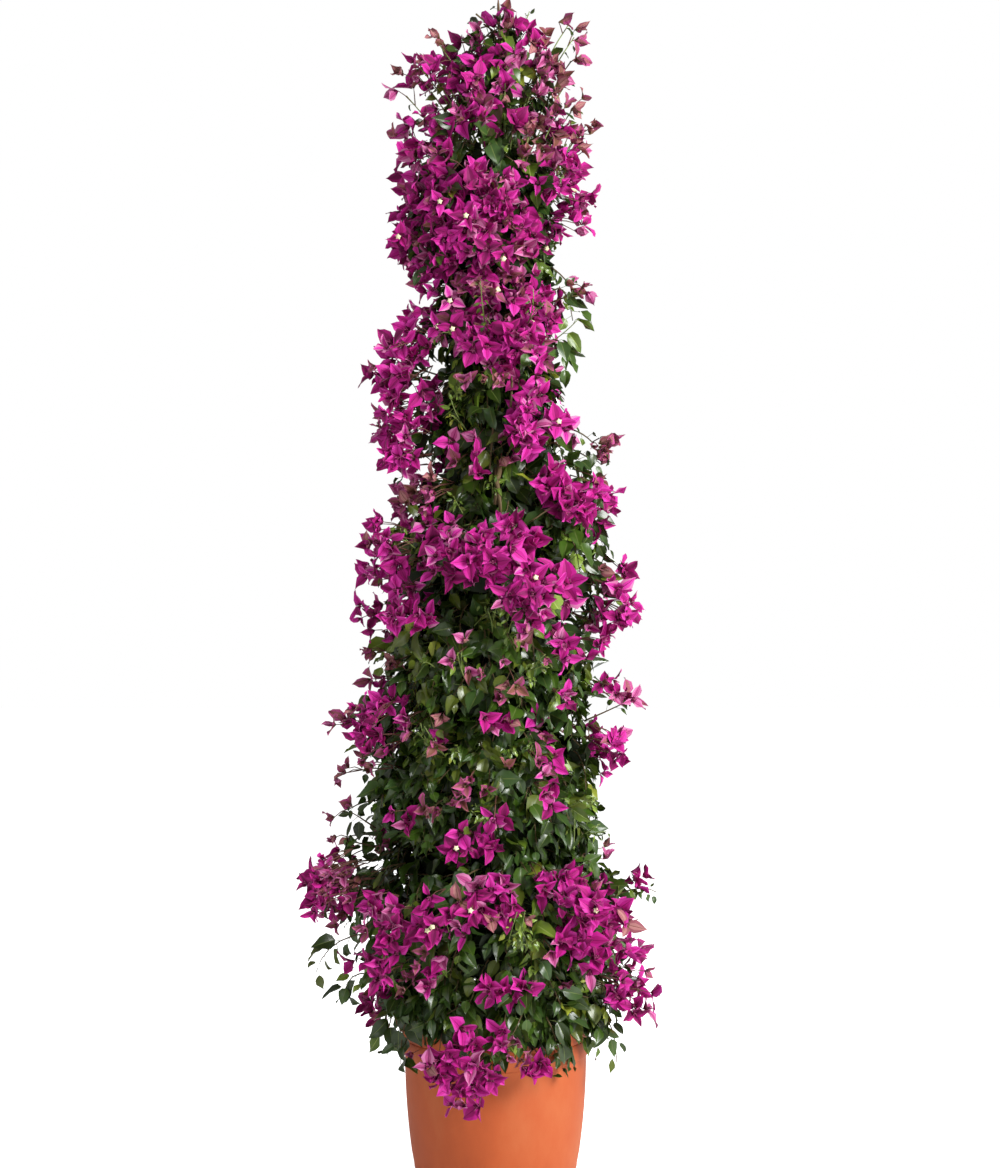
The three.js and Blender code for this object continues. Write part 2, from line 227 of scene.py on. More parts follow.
def placeNodes(tree, stretch):
    # The surface's own place, stretched as asked.
    place = tree.nodes.new("ShaderNodeTexCoord")
    mapping = tree.nodes.new("ShaderNodeMapping")
    mapping.inputs["Scale"].default_value = stretch
    tree.links.new(place.outputs["Object"], mapping.inputs["Vector"])
    return mapping.outputs["Vector"]


def mottle(tree, stretch, scale, detail, roughness):
    cloud = tree.nodes.new("ShaderNodeTexNoise")
    cloud.inputs["Scale"].default_value = scale
    cloud.inputs["Detail"].default_value = detail
    cloud.inputs["Roughness"].default_value = roughness
    tree.links.new(placeNodes(tree, stretch), cloud.inputs["Vector"])
    return cloud.outputs["Fac"]


def blendColours(tree, share, stops):
    ramp = tree.nodes.new("ShaderNodeValToRGB")
    ramp.color_ramp.elements[0].position = stops[0][0]
    ramp.color_ramp.elements[0].color = colourOf(*stops[0][1])
    ramp.color_ramp.elements[1].position = stops[-1][0]
    ramp.color_ramp.elements[1].color = colourOf(*stops[-1][1])
    for position, colour in stops[1:-1]:
        ramp.color_ramp.elements.new(position).color = colourOf(*colour)
    tree.links.new(share, ramp.inputs["Fac"])
    return ramp.outputs["Color"]


def reliefFrom(tree, height, strength, distance, shader):
    bump = tree.nodes.new("ShaderNodeBump")
    bump.inputs["Strength"].default_value = strength
    bump.inputs["Distance"].default_value = distance
    tree.links.new(height, bump.inputs["Height"])
    tree.links.new(bump.outputs["Normal"], shader.inputs["Normal"])


def levelBetween(tree, share, low, high):
    level = tree.nodes.new("ShaderNodeMapRange")
    level.inputs["To Min"].default_value = low
    level.inputs["To Max"].default_value = high
    tree.links.new(share, level.inputs["Value"])
    return level.outputs["Result"]


# In each look, colours go with their share of the mottling, clouds are stretch, scale, detail
# and roughness, and relief is strength and depth.
potLook = {
    "colours": [(0.34, (178, 82, 39)), (0.52, (190, 90, 44)), (0.78, (198, 108, 62))],
    "broad": ((1, 1, 0.5), 9, 5, 0.6),
    "fine": ((1, 1, 1), 420, 3, 0.6),
    "roughness": (0.5, 0.68),
    "shine": 0.35,
    "relief": (0.22, 0.6 * mm),
}


def makePotFinish():
    finish, tree, shader = newFinish("potPlastic")
    broad = mottle(tree, *potLook["broad"])
    fine = mottle(tree, *potLook["fine"])
    tree.links.new(blendColours(tree, broad, potLook["colours"]), shader.inputs["Base Color"])
    tree.links.new(levelBetween(tree, broad, *potLook["roughness"]), shader.inputs["Roughness"])
    shader.inputs["Specular IOR Level"].default_value = potLook["shine"]
    reliefFrom(tree, fine, *potLook["relief"], shader)
    return finish


soilLook = {
    "colours": [(0.35, (40, 28, 20)), (0.66, (84, 62, 44))],
    "crumbs": ((1, 1, 1), 130, 6, 0.7),
    "roughness": 0.95,
    "relief": (0.8, 3 * mm),
}


def makeSoilFinish():
    finish, tree, shader = newFinish("compost")
    crumbs = mottle(tree, *soilLook["crumbs"])
    tree.links.new(blendColours(tree, crumbs, soilLook["colours"]), shader.inputs["Base Color"])
    shader.inputs["Roughness"].default_value = soilLook["roughness"]
    reliefFrom(tree, crumbs, *soilLook["relief"], shader)
    return finish


barkLook = {
    "colours": [(0.34, (58, 40, 28)), (0.55, (118, 88, 62)), (0.74, (112, 104, 80))],
    "strands": ((1, 1, 0.12), 260, 6, 0.65),
    "patches": ((1, 1, 0.4), 34, 4, 0.6),
    "roughness": (0.7, 0.95),
    "relief": (0.7, 1.6 * mm),
}


def makeBarkFinish():
    finish, tree, shader = newFinish("bark")
    strands = mottle(tree, *barkLook["strands"])
    patches = mottle(tree, *barkLook["patches"])
    tree.links.new(blendColours(tree, strands, barkLook["colours"]), shader.inputs["Base Color"])
    tree.links.new(levelBetween(tree, patches, *barkLook["roughness"]), shader.inputs["Roughness"])
    reliefFrom(tree, strands, *barkLook["relief"], shader)
    return finish


def leaveEditing():
    if bpy.context.mode != "OBJECT":
        bpy.ops.object.mode_set(mode="OBJECT")


def raiseRing(fromRing, toRing):
    # Draws the selected ring of edges out to the next radius and height.
    (radius, height), (nextRadius, nextHeight) = fromRing, toRing
    bpy.ops.mesh.extrude_edges_move(TRANSFORM_OT_translate={"value": (0, 0, nextHeight - height)})
    share = nextRadius / radius
    bpy.ops.transform.resize(value=(share, share, 1), center_override=(0, 0, nextHeight))


def turnRings(name, profile, sides):
    bpy.ops.object.select_all(action="DESELECT")
    radius, height = profile[0]
    bpy.ops.mesh.primitive_circle_add(
        vertices=sides, radius=radius, fill_type="TRIFAN", location=(0, 0, height))
    piece = bpy.context.active_object
    piece.name = name
    bpy.ops.object.transform_apply(location=True, rotation=True, scale=True)
    bpy.ops.object.mode_set(mode="EDIT")
    bpy.ops.mesh.select_mode(type="EDGE")
    bpy.ops.mesh.select_all(action="SELECT")
    bpy.ops.mesh.region_to_loop()
    for ring, nextRing in zip(profile, profile[1:]):
        raiseRing(ring, nextRing)
    bpy.ops.mesh.merge(type="CENTER")
    bpy.ops.mesh.select_all(action="SELECT")
    bpy.ops.mesh.normals_make_consistent(inside=False)
    leaveEditing()
    return piece


def finishPiece(piece, finishes, replaced, angle=None):
    for finish in finishes:
        piece.data.materials.append(finish)
    if angle is not None:
        bpy.ops.object.select_all(action="DESELECT")
        piece.select_set(True)
        bpy.context.view_layer.objects.active = piece
        bpy.ops.object.shade_smooth_by_angle(angle=math.radians(angle))
    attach(piece, "root")
    if replaced:
        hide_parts(*replaced)


potShape = {
    "sides": 144,
    "steps": 8,
    "wall": 3.2 * mm,
    "foot": 0.72,  # share of the rim's radius
    "footAcross": 22 * mm,
    "footUp": 26 * mm,
    "swell": 0.8,
    "collarFoot": 0.79,  # shares of the height
    "collarGroove": 0.905,
    "collarStep": 5.4 * mm,
    "lip": 2.2 * mm,
    "lipSteps": 6,
    # In from the rim and up, first from the collar's foot and then from its groove.
    "collarRings": [(2.4 * mm, 2.6 * mm), (1.6 * mm, 4.4 * mm)],
    "grooveRings": [
        (1.2 * mm, -2.2 * mm), (1.5 * mm, -1.2 * mm), (2.6 * mm, -0.5 * mm),
        (2.6 * mm, 0.5 * mm), (1.2 * mm, 1.2 * mm), (0.9 * mm, 2.2 * mm)],
    "smoothUnder": 38,
}


def potProfile():
    # Radius and height of each ring: up the outside, over the lip and down the inside.
    shape = potShape
    steps, lip, wall, footUp = shape["steps"], shape["lip"], shape["wall"], shape["footUp"]
    rim = (potHigh.x - potLow.x) / 2
    height = potHigh.z
    foot = rim * shape["foot"]
    collarFoot, groove = height * shape["collarFoot"], height * shape["collarGroove"]
    neck = rim - shape["collarStep"]
    start = foot + shape["footAcross"]
    rings = [(foot, potLow.z)]
    for step in range(1, steps + 1):
        angle = step / steps * math.pi / 2
        rings.append((foot + shape["footAcross"] * math.sin(angle), footUp * (1 - math.cos(angle))))
    for step in range(1, steps + 1):
        share = step / steps
        swell = math.sin(share * math.pi / 2) ** shape["swell"]
        rings.append((start + (neck - start) * swell, footUp + (collarFoot - footUp) * share))
    rings.append((neck + 0.2 * mm, collarFoot + 0.8 * mm))
    rings += [(rim - inwards, collarFoot + rise) for inwards, rise in shape["collarRings"]]
    rings += [(rim - inwards, groove + rise) for inwards, rise in shape["grooveRings"]]
    rings.append((rim - 0.2 * mm, height - lip * 1.6))
    for step in range(shape["lipSteps"] + 1):
        angle = step / shape["lipSteps"] * math.pi
        rings.append((rim - lip + lip * math.cos(angle), height - lip * (1 - math.sin(angle))))
    rings += [
        (rim - lip * 2.1, collarFoot + 4 * mm),
        (neck - wall, collarFoot - 2 * mm),
        (start - wall + 7 * mm, height * 0.36),
        (start - wall - 1 * mm, footUp + 6 * mm),
        (foot - 4 * mm, wall + 1 * mm),
    ]
    return rings


def makePot():
    pot = turnRings("potBody", potProfile(), potShape["sides"])
    finishPiece(pot, [makePotFinish()], ["pot"], angle=potShape["smoothUnder"])


soilShape = {
    "sides": 96,
    "rings": 22,
    "depth": 50 * mm,
    "taper": 12 * mm,
    "below": 5 * mm,
    "crumbScale": 42,
    "grainScale": 110,
    "relief": 5 * mm,
    "mound": (5 * mm, 35 * mm),  # height and reach round the stem
    "smoothUnder": 70,
}


def soilHeight(x, y):
    shape = soilShape
    crumbs = noise.noise(Vector((x, y, 0.3)) * shape["crumbScale"])
    grains = noise.noise(Vector((x, y, 1.7)) * shape["grainScale"])
    height, reach = shape["mound"]
    mound = height * math.exp(-(x * x + y * y) / reach ** 2)
    return soilHigh.z - shape["below"] + mound + (crumbs + 0.5 * grains) * shape["relief"]


def makeSoil():
    radius = (soilHigh.x - soilLow.x) / 2
    top = soilHigh.z - 4 * mm
    rings = [(radius - soilShape["taper"], top - soilShape["depth"]), (radius - 1 * mm, top)]
    rings += [(radius * share, top) for share in np.linspace(0.95, 0.03, soilShape["rings"])]
    soil = turnRings("compostTop", rings, soilShape["sides"])
    rim = radius - 2 * mm
    for vertex in soil.data.vertices:
        place = vertex.co
        if place.z > top - 1 * mm and math.hypot(place.x, place.y) < rim:
            place.z = soilHeight(place.x, place.y)
    finishPiece(soil, [makeSoilFinish()], ["soil"], angle=soilShape["smoothUnder"])


makePot()
makeSoil()
print("pot and soil ready")


# The stem and boughs with their bark, and the thin old stems that climb beside them.
woodShape = {
    "rounding": 3,
    "ridgeRelief": 1.1 * mm,
    "ridgeScale": (210, 210, 26),
    "knotRelief": 1.6 * mm,
    "knotScale": 60,
    "climbers": 4,
    "climberSides": 8,
    "climberSteps": 46,
    "climberRadius": (6.5 * mm, 2.2 * mm),
    "climberTop": (0.7, 0.9),  # share of the plant's height
    "climberTurns": 1.3,
    "climberReach": 34 * mm,
    "climberTaper": 0.72,
    "climberSway": 4 * mm,
    "smoothUnder": 60,
}


def stemAxis():
    # The stem's middle line, as heights with the middle of the points found near each.
    near = 12 * mm
    points = np.array([vertex.co for vertex in nodes["main_stem"].data.vertices])
    heights = np.unique(np.round(points[:, 2], 3))
    middles = [points[abs(points[:, 2] - height) < near].mean(0) for height in heights]
    return heights, np.array(middles)


axisHeights, axisMiddles = stemAxis()


def onStem(height):
    return Vector((
        float(np.interp(height, axisHeights, axisMiddles[:, 0])),
        float(np.interp(height, axisHeights, axisMiddles[:, 1])),
        float(height)))


def barkCopy(name):
    bpy.ops.object.select_all(action="DESELECT")
    piece = bpy.data.objects.new("wood_" + name, nodes[name].data.copy())
    bpy.context.scene.collection.objects.link(piece)
    piece.data.materials.clear()
    piece.select_set(True)
    bpy.context.view_layer.objects.active = piece
    bpy.ops.object.mode_set(mode="EDIT")
    bpy.ops.mesh.select_all(action="SELECT")
    bpy.ops.mesh.remove_doubles(threshold=0.00002)
    bpy.ops.mesh.tris_convert_to_quads()
    leaveEditing()
    smoother = piece.modifiers.new("round", "SUBSURF")
    smoother.levels = smoother.render_levels = woodShape["rounding"]
    bpy.ops.object.modifier_apply(modifier=smoother.name)
    normals = [vertex.normal.copy() for vertex in piece.data.vertices]
    for vertex, normal in zip(piece.data.vertices, normals):
        place = vertex.co
        along = place * Vector(woodShape["ridgeScale"])
        knots = noise.noise(place * woodShape["knotScale"])
        ridges = abs(noise.noise(along)) * 2 - 0.6
        vertex.co = place + normal * (ridges * woodShape["ridgeRelief"] + knots * woodShape["knotRelief"])
    return piece


def tubeArrays(path, radii, sides):
    # Rings of points along a path, closed to a point at the far end.
    count = len(path)
    points = np.array([tuple(place) for place in path])
    runs = np.gradient(points, axis=0)
    runs /= np.linalg.norm(runs, axis=1)[:, None] + 1e-12
    helper = np.where(np.abs(runs[:, 2:3]) > 0.9, np.array([[1.0, 0, 0]]), np.array([[0, 0, 1.0]]))
    across = np.cross(runs, helper)
    across /= np.linalg.norm(across, axis=1)[:, None] + 1e-12
    other = np.cross(runs, across)
    angles = np.arange(sides) * 2 * math.pi / sides
    ring = (
        np.cos(angles)[None, :, None] * across[:, None, :]
        + np.sin(angles)[None, :, None] * other[:, None, :])
    rings = points[:, None, :] + ring * np.asarray(radii)[:, None, None]
    verts = np.vstack([rings.reshape(-1, 3), points[:1], points[-1:]])
    faces = []
    for step in range(count - 1):
        for side in range(sides):
            here, there = step * sides + side, step * sides + (side + 1) % sides
            faces.append((here, here + sides, there + sides, there))
    first, last = count * sides, count * sides + 1
    for side in range(sides):
        following = (side + 1) % sides
        faces.append((first, side, following))
        faces.append((last, (count - 1) * sides + following, (count - 1) * sides + side))
    return verts, faces


def meshFromParts(name, parts):
    # parts is a list of (points, faces, material index).
    verts, faces, tints, start = [], [], [], 0
    for points, shapeFaces, tint in parts:
        verts.append(points)
        faces += [tuple(index + start for index in face) for face in shapeFaces]
        tints += [tint] * len(shapeFaces)
        start += len(points)
    mesh = bpy.data.meshes.new(name)
    mesh.from_pydata(np.vstack(verts).tolist(), [], faces)
    mesh.polygons.foreach_set("material_index", tints)
    mesh.polygons.foreach_set("use_smooth", [True] * len(faces))
    mesh.update()
    piece = bpy.data.objects.new(name, mesh)
    bpy.context.scene.collection.objects.link(piece)
    return piece


def climberPath(index):
    draw = np.random.default_rng(500 + index)
    begin = index * 2 * math.pi / woodShape["climbers"] + 0.5
    top = cadHigh.z * draw.uniform(*woodShape["climberTop"])
    path = []
    for height in np.linspace(soilHigh.z - 6 * mm, top, woodShape["climberSteps"]):
        share = (height - soilHigh.z) / (top - soilHigh.z)
        turn = begin + share * woodShape["climberTurns"] * 2 * math.pi
        sway = woodShape["climberSway"] * noise.noise(Vector((index, height * 9, 0)))
        reach = woodShape["climberReach"] * (1 - woodShape["climberTaper"] * share) + sway
        middle = onStem(max(height, axisHeights[0]))
        path.append(Vector((middle.x + math.cos(turn) * reach, middle.y + math.sin(turn) * reach, height)))
    return path


def makeWood():
    finish = makeBarkFinish()
    pieces = [barkCopy(name) for name in woodNodes]
    parts = []
    for index in range(woodShape["climbers"]):
        path = climberPath(index)
        radii = np.linspace(*woodShape["climberRadius"], len(path))
        points, faces = tubeArrays(path, radii, woodShape["climberSides"])
        parts.append((points, faces, 0))
    pieces.append(meshFromParts("climbers", parts))
    bpy.ops.object.select_all(action="DESELECT")
    for piece in pieces:
        piece.select_set(True)
    bpy.context.view_layer.objects.active = pieces[0]
    bpy.ops.object.join()
    wood = bpy.context.active_object
    wood.name = "oldWood"
    finishPiece(wood, [finish], woodNodes, angle=woodShape["smoothUnder"])


makeWood()
print("old wood ready")


def massTree():
    # The outside of all the leaf and bloom masses, and which mass each face belongs to.
    verts, faces, owners = [], [], []
    for name in leafNodes + bloomNodes:
        mesh = nodes[name].data
        start = len(verts)
        verts += [vertex.co.copy() for vertex in mesh.vertices]
        for polygon in mesh.polygons:
            faces.append(tuple(start + index for index in polygon.vertices))
            owners.append(name)
    return BVHTree.FromPolygons(verts, faces), owners


surface, surfaceOwners = massTree()


def outwardAt(bearing):
    return Vector((math.sin(bearing), -math.cos(bearing), 0))


shellWalk = {
    "reach": 0.5,
    "openGap": 14 * mm,  # masses closer than this count as one
    "skip": 0.01 * mm,
    "halfWidth": ((0.8, 0.19), (9.0, 0.14)),  # the column's, below each height
    "jitterAround": 0.42,
    "jitterUp": 0.45,
}


def shellHits(height, bearing):
    # Each outside face met on the way in to the stem: (place, normal, owner).
    out = outwardAt(bearing)
    axis = onStem(height)
    travelled, reach = 0.0, shellWalk["reach"]
    place = axis + out * reach
    lastExit, hits = None, []
    while travelled < reach:
        found, normal, index, distance = surface.ray_cast(place, -out, reach - travelled)
        if found is None:
            break
        travelled += distance + shellWalk["skip"]
        place = found - out * shellWalk["skip"]
        if normal.dot(out) > 0:
            if lastExit is None or travelled - lastExit > shellWalk["openGap"]:
                hits.append((found, normal, surfaceOwners[index]))
        else:
            lastExit = travelled
    return hits


def combShell(spacing, seed, lowest, highest):
    # Walks round the column from low to high and gathers the places met, evenly spread but
    # never in rows.
    draw = np.random.default_rng(seed)
    aside, along = shellWalk["jitterAround"], shellWalk["jitterUp"]
    found = []
    for height in np.arange(lowest, highest, spacing):
        radius = next(width for top, width in shellWalk["halfWidth"] if height < top)
        count = int(2 * math.pi * radius / spacing)
        begin = draw.uniform(0, 2 * math.pi)
        for step in range(count):
            bearing = begin + (step + draw.uniform(-aside, aside)) / count * 2 * math.pi
            level = height + draw.uniform(-along, along) * spacing
            for place, normal, owner in shellHits(level, bearing):
                found.append((place, normal, owner, bearing))
    return found


# Leaves and bracts are cut from flat outlines and curved to suit. Rows are the share of the
# length and of the half width, columns the share of the way across.
leafOutline = {
    "rows": [(0.1, 0.62), (0.3, 1.0), (0.55, 0.86), (0.8, 0.38)],
    "columns": [-1, -0.5, -0.055, 0.055, 0.5, 1],
}
innerOutline = {"rows": [(0.14, 0.8), (0.45, 0.95), (0.78, 0.42)], "columns": [-1, 0, 1]}
bractOutline = {
    "rows": [(0.2, 0.7), (0.44, 1.0), (0.7, 0.62), (0.88, 0.2)],
    "columns": [-1, -0.5, -0.045, 0.045, 0.5, 1],
}


faceKinds = {"blade": 0, "midrib": 1, "foot": 2, "margin": 3}


class Blades:
    # A heap of blades of one kind, kept as plain rows of numbers.
    def __init__(self):
        self.rows = []

    def add(self, place, axis, face, length, width, fold, bend, wave, twist, tint):
        self.rows.append((*place, *axis, *face, length, width, fold, bend, wave, twist, tint))


def outlineParts(outline):
    rows, columns = outline["rows"], outline["columns"]
    wide = len(columns)
    along = [0.0] + [share for share, _ in rows for _ in columns] + [1.0]
    across = [0.0] + [half * column for _, half in rows for column in columns] + [0.0]
    edge = [0.0] + [column for _ in rows for column in columns] + [0.0]
    tip = len(along) - 1
    faces, kinds = [], []
    for column in range(wide - 1):
        kind = "blade"
        if wide % 2 == 0 and column == wide // 2 - 1:
            kind = "midrib"
        elif column in (0, wide - 2):
            kind = "margin"
        faces.append((0, 1 + column, 2 + column))
        kinds.append("midrib" if kind == "midrib" else "foot")
        for row in range(len(rows) - 1):
            here = 1 + row * wide + column
            faces.append((here, here + wide, here + wide + 1, here + 1))
            kinds.append(kind)
        here = 1 + (len(rows) - 1) * wide + column
        faces.append((here, tip, here + 1))
        kinds.append(kind)
    kinds = np.array([faceKinds[kind] for kind in kinds])
    return np.array(along), np.array(across), np.array(edge), faces, kinds


def bladePoints(rows, outline):
    # The corners of every blade: folded along the middle, bent, rippled at the edge and twisted.
    along, across, edge, _, _ = outlineParts(outline)
    data = np.array(rows)
    place, axis, face = data[:, 0:3], data[:, 3:6], data[:, 6:9]
    length, width, fold, bend, wave, twist = (data[:, column, None] for column in range(9, 15))
    axis = axis / np.linalg.norm(axis, axis=1)[:, None]
    face = face - axis * (face * axis).sum(1)[:, None]
    face = face / (np.linalg.norm(face, axis=1)[:, None] + 1e-12)
    side = np.cross(face, axis)
    share = along[None, :]
    safe = np.where(np.abs(bend) < 1e-3, 1e-3, bend)
    forward = length * np.sin(safe * share) / safe
    drop = -length * (1 - np.cos(safe * share)) / safe
    half = width * 0.5 * across[None, :]
    phase = (data[:, 0:1] * 977 + data[:, 2:3] * 613) % 6.283  # differs from blade to blade
    ripple = np.sin(phase + share * 7 + np.sign(edge)[None, :] * 1.9)
    ripple = wave * width * ripple * edge[None, :] ** 2
    sideways = half * np.cos(fold)
    lift = np.abs(half) * np.sin(fold) - 0.5 * np.sin(fold) * half ** 2 / (width * 0.5) + ripple
    place, axis, face, side = (part[:, None, :] for part in (place, axis, face, side))
    bendCos, bendSin = np.cos(safe * share)[..., None], np.sin(safe * share)[..., None]
    turnCos, turnSin = np.cos(twist * share)[..., None], np.sin(twist * share)[..., None]
    normalHere = face * bendCos + axis * bendSin
    sideHere = side * turnCos + normalHere * turnSin
    liftHere = normalHere * turnCos - side * turnSin
    return (
        place + axis * forward[..., None] + face * drop[..., None]
        + sideHere * sideways[..., None] + liftHere * lift[..., None])


def bladeMesh(name, rows, outline, tintSlots):
    # One joined mesh of all the blades. For each kind of face, tintSlots has the material that
    # goes with each tint, and the tint itself is taken where it has none.
    points = bladePoints(rows, outline)
    _, _, _, faces, kinds = outlineParts(outline)
    blades, corners = points.shape[0], points.shape[1]
    tint = np.array(rows)[:, -1].astype(int)
    loops = np.concatenate([np.array(face) for face in faces])
    sizes = np.array([len(face) for face in faces])
    allLoops = (loops[None, :] + (np.arange(blades) * corners)[:, None]).ravel()
    starts = np.concatenate([[0], np.cumsum(np.tile(sizes, blades))[:-1]])
    slots = np.repeat(tint[:, None], len(faces), axis=1)
    for kind, ofTint in tintSlots.items():
        slots = np.where(kinds[None, :] == faceKinds[kind], np.array(ofTint)[tint][:, None], slots)
    mesh = bpy.data.meshes.new(name)
    mesh.vertices.add(blades * corners)
    mesh.vertices.foreach_set("co", points.reshape(-1).astype(np.float32))
    mesh.loops.add(len(allLoops))
    mesh.loops.foreach_set("vertex_index", allLoops.astype(np.int32))
    mesh.polygons.add(blades * len(faces))
    mesh.polygons.foreach_set("loop_start", starts.astype(np.int32))
    mesh.polygons.foreach_set("material_index", slots.ravel().astype(np.int32))
    mesh.polygons.foreach_set("use_smooth", np.ones(blades * len(faces), bool))
    mesh.update(calc_edges=True)
    piece = bpy.data.objects.new(name, mesh)
    bpy.context.scene.collection.objects.link(piece)
    return piece


leaves, innerLeaves, bracts = Blades(), Blades(), Blades()
stalks, twigs, starFlowers, budTubes = [], [], [], []


def fanOut(draw, spread):
    return Vector(tuple(draw.normal(0, spread, 3)))


def unit(vector):
    return vector.normalized() if vector.length > 1e-9 else up.copy()


def alongBezier(points, share):
    first, second, third = points
    return first * (1 - share) ** 2 + second * (2 * share * (1 - share)) + third * share ** 2


def insidePot(place, clear=3 * mm):
    rim = (potHigh.x - potLow.x) / 2 + clear
    return place.z < potHigh.z + clear and math.hypot(place.x, place.y) < rim


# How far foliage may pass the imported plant's box, and how low it may hang.
limits = {"side": 20 * mm, "top": 30 * mm, "lowest": 146 * mm}


def insideLimits(place):
    side = limits["side"]
    return (
        cadLow.x - side < place.x < cadHigh.x + side
        and cadLow.y - side < place.y < cadHigh.y + side
        and limits["lowest"] < place.z < cadHigh.z + limits["top"])


leafyHabit = {
    "spacing": 32.5 * mm,
    "leaves": (6, 11),
    "length": (27 * mm, 49 * mm),
    "slimness": (0.58, 0.76),
    "stalk": (7 * mm, 17 * mm),
    "stalkRadius": 0.75 * mm,
    "hang": {0.1: 0.18, 0.45: 0.3, 0.8: 0.32, 1.2: 0.2},  # how steeply, and how often
    "fold": (0.15, 0.9),
    "bend": (-0.3, 1.1),
    "wave": (0.05, 0.16),
    "twist": 0.4,
    "lowest": 190 * mm,
    "sameTint": 0.6,
    "twig": (1.5 * mm, 0.7 * mm),
    "depths": (-6 * mm, 34 * mm),
    "aside": 34 * mm,
    "rootIn": 50 * mm,
    "rootUp": (0, 50 * mm),
    "archOut": (0, 18 * mm),
    "archUp": (0, 34 * mm),
    "tipOut": (-4 * mm, 26 * mm),
    "tipDown": (-10 * mm, 85 * mm),
    "firstLeaf": 0.2,  # share of the way along
    "youngSize": 0.46,
}
tintShares = {
    "usual": {
        "deep": 0.36, "mid": 0.27, "blue": 0.17, "olive": 0.1, "fresh": 0.07, "light": 0.02,
        "yellow": 0.01},
    "young": {"mid": 0.12, "olive": 0.22, "fresh": 0.46, "light": 0.16, "yellow": 0.04},
}


def drawTint(draw, shares, tints):
    names = list(shares)
    weights = np.array([shares[name] for name in names])
    return tints.index(names[draw.choice(len(names), p=weights / weights.sum())])


def drawCurve(draw, habit):
    # The fold, bend, wave and twist of one blade, drawn in that order.
    fold, bend, wave = (draw.uniform(*habit[part]) for part in ("fold", "bend", "wave"))
    return fold, bend, wave, draw.normal(0, habit["twist"])


def growLeaf(draw, twigPlace, run, side, out, size, tint, slim, lowest):
    # One leaf on its stalk. Most hang with their faces out; some stand off or turn edge on.
    habit = leafyHabit
    sideways = unit(run.cross(out)) * side
    stalkWay = unit(run * 0.4 + sideways * 0.8 + out * draw.uniform(-0.1, 0.8) + fanOut(draw, 0.3))
    base = twigPlace + stalkWay * draw.uniform(*habit["stalk"]) * (0.5 + 0.5 * size)
    hang = draw.choice(tuple(habit["hang"]), p=tuple(habit["hang"].values()))
    axis = unit(stalkWay * 0.7 - up * hang + out * draw.uniform(-0.1, 0.55) + fanOut(draw, 0.3))
    face = out * 0.9 + up * draw.uniform(0.0, 1.0) + sideways * draw.normal(0, 0.35)
    face = unit(face + fanOut(draw, 0.38))
    length = draw.uniform(*habit["length"]) * size
    tip = base + axis * length
    if any(insidePot(place) for place in (base, tip, base + axis * length * 0.5)):
        return False
    if not insideLimits(base) or not insideLimits(tip) or tip.z < lowest:
        return False
    width = length * draw.uniform(*habit["slimness"]) * slim
    leaves.add(base, axis, face, length, width, *drawCurve(draw, habit), tint)
    stalks.append((twigPlace, base, habit["stalkRadius"] * size))
    return True


def leafUp(draw, curve, count, begin, size, shares, out, slim=1.0, lowest=leafyHabit["lowest"]):
    # Leaves set one side and then the other along a twig, smaller towards its tip.
    # Gives how far along the twig the last one stands.
    leafTint = drawTint(draw, shares, leafTints)
    farthest = 0
    for index in range(count):
        share = begin + (1 - begin) * (index + draw.uniform(0, 0.7)) / count
        run = unit(alongBezier(curve, min(share + 0.05, 1)) - alongBezier(curve, share - 0.05))
        grown = size * (1.08 - 0.5 * share ** 3) * draw.uniform(0.72, 1.1)
        tint = leafTint if draw.random() < leafyHabit["sameTint"] else drawTint(draw, shares, leafTints)
        place, side = alongBezier(curve, share), 1 if index % 2 else -1
        if growLeaf(draw, place, run, side, out, grown, tint, slim, lowest):
            farthest = share
    return farthest


twigLook = {
    "steps": 7,
    "sides": 5,
    "stalkSides": 4,
    "colours": {
        "twigBrown": ((96, 78, 48), 0.7), "twigGreen": ((128, 146, 76), 0.6),
        "twigRed": ((116, 74, 62), 0.65)},
    "bloomStalk": np.array([1.0, 0.8, 0.6]) * mm,
    "leafStalk": ((98, 116, 56), 0.6),
}
brownTwig, greenTwig, redTwig = range(3)


def addTwig(curve, thick, thin, tint, farthest=1.0):
    path = [alongBezier(curve, share) for share in np.linspace(0, farthest, twigLook["steps"])]
    if farthest > 0 and not any(insidePot(place, 0) for place in path):
        twigs.append((path, np.linspace(thick, thin, twigLook["steps"]), tint))


def addBloomStalk(root, middle, place):
    twigs.append(([root, middle, place], twigLook["bloomStalk"], redTwig))


def growSpray(draw, place, normal, out, young=False, reach=1.0, count=None, depths=leafyHabit["depths"]):
    # A shoot comes out through the foliage at the place given, then arches over and hangs.
    habit = leafyHabit
    aside = unit(up.cross(out)) * draw.normal(0, habit["aside"])
    heart = place - normal * draw.uniform(*depths)
    start = heart - out * habit["rootIn"] + up * draw.uniform(*habit["rootUp"])
    middle = heart + out * draw.uniform(*habit["archOut"]) + up * draw.uniform(*habit["archUp"])
    end = heart + out * draw.uniform(*habit["tipOut"]) * reach
    end = end - up * draw.uniform(*habit["tipDown"]) * reach + aside
    curve = (start, middle, end)
    shares = tintShares["young" if young else "usual"]
    count = count or int(draw.integers(*habit["leaves"]))
    size = habit["youngSize"] if young else 1.0
    farthest = leafUp(draw, curve, count, habit["firstLeaf"], size, shares, out)
    addTwig(curve, *habit["twig"], greenTwig if young else brownTwig, farthest)


# Plain leaves deep in the column, so that no light comes through it; their dark colour is painted shade of
# the column's inside.
innerHabit = {
    "count": 3600,
    "heights": (0.165, 0.87),  # shares of the plant's height
    "within": 40 * mm,
    "leastReach": 20 * mm,
    "reach": (0.5, 0.86),
    "offPot": 30 * mm,
    "length": (34 * mm, 50 * mm),
    "slimness": 0.7,
    "smallAbove": 1.55,
    "smallSize": 0.8,
    # painted shade: darker than every outer leaf tint
    "colour": (30, 42, 18),
}


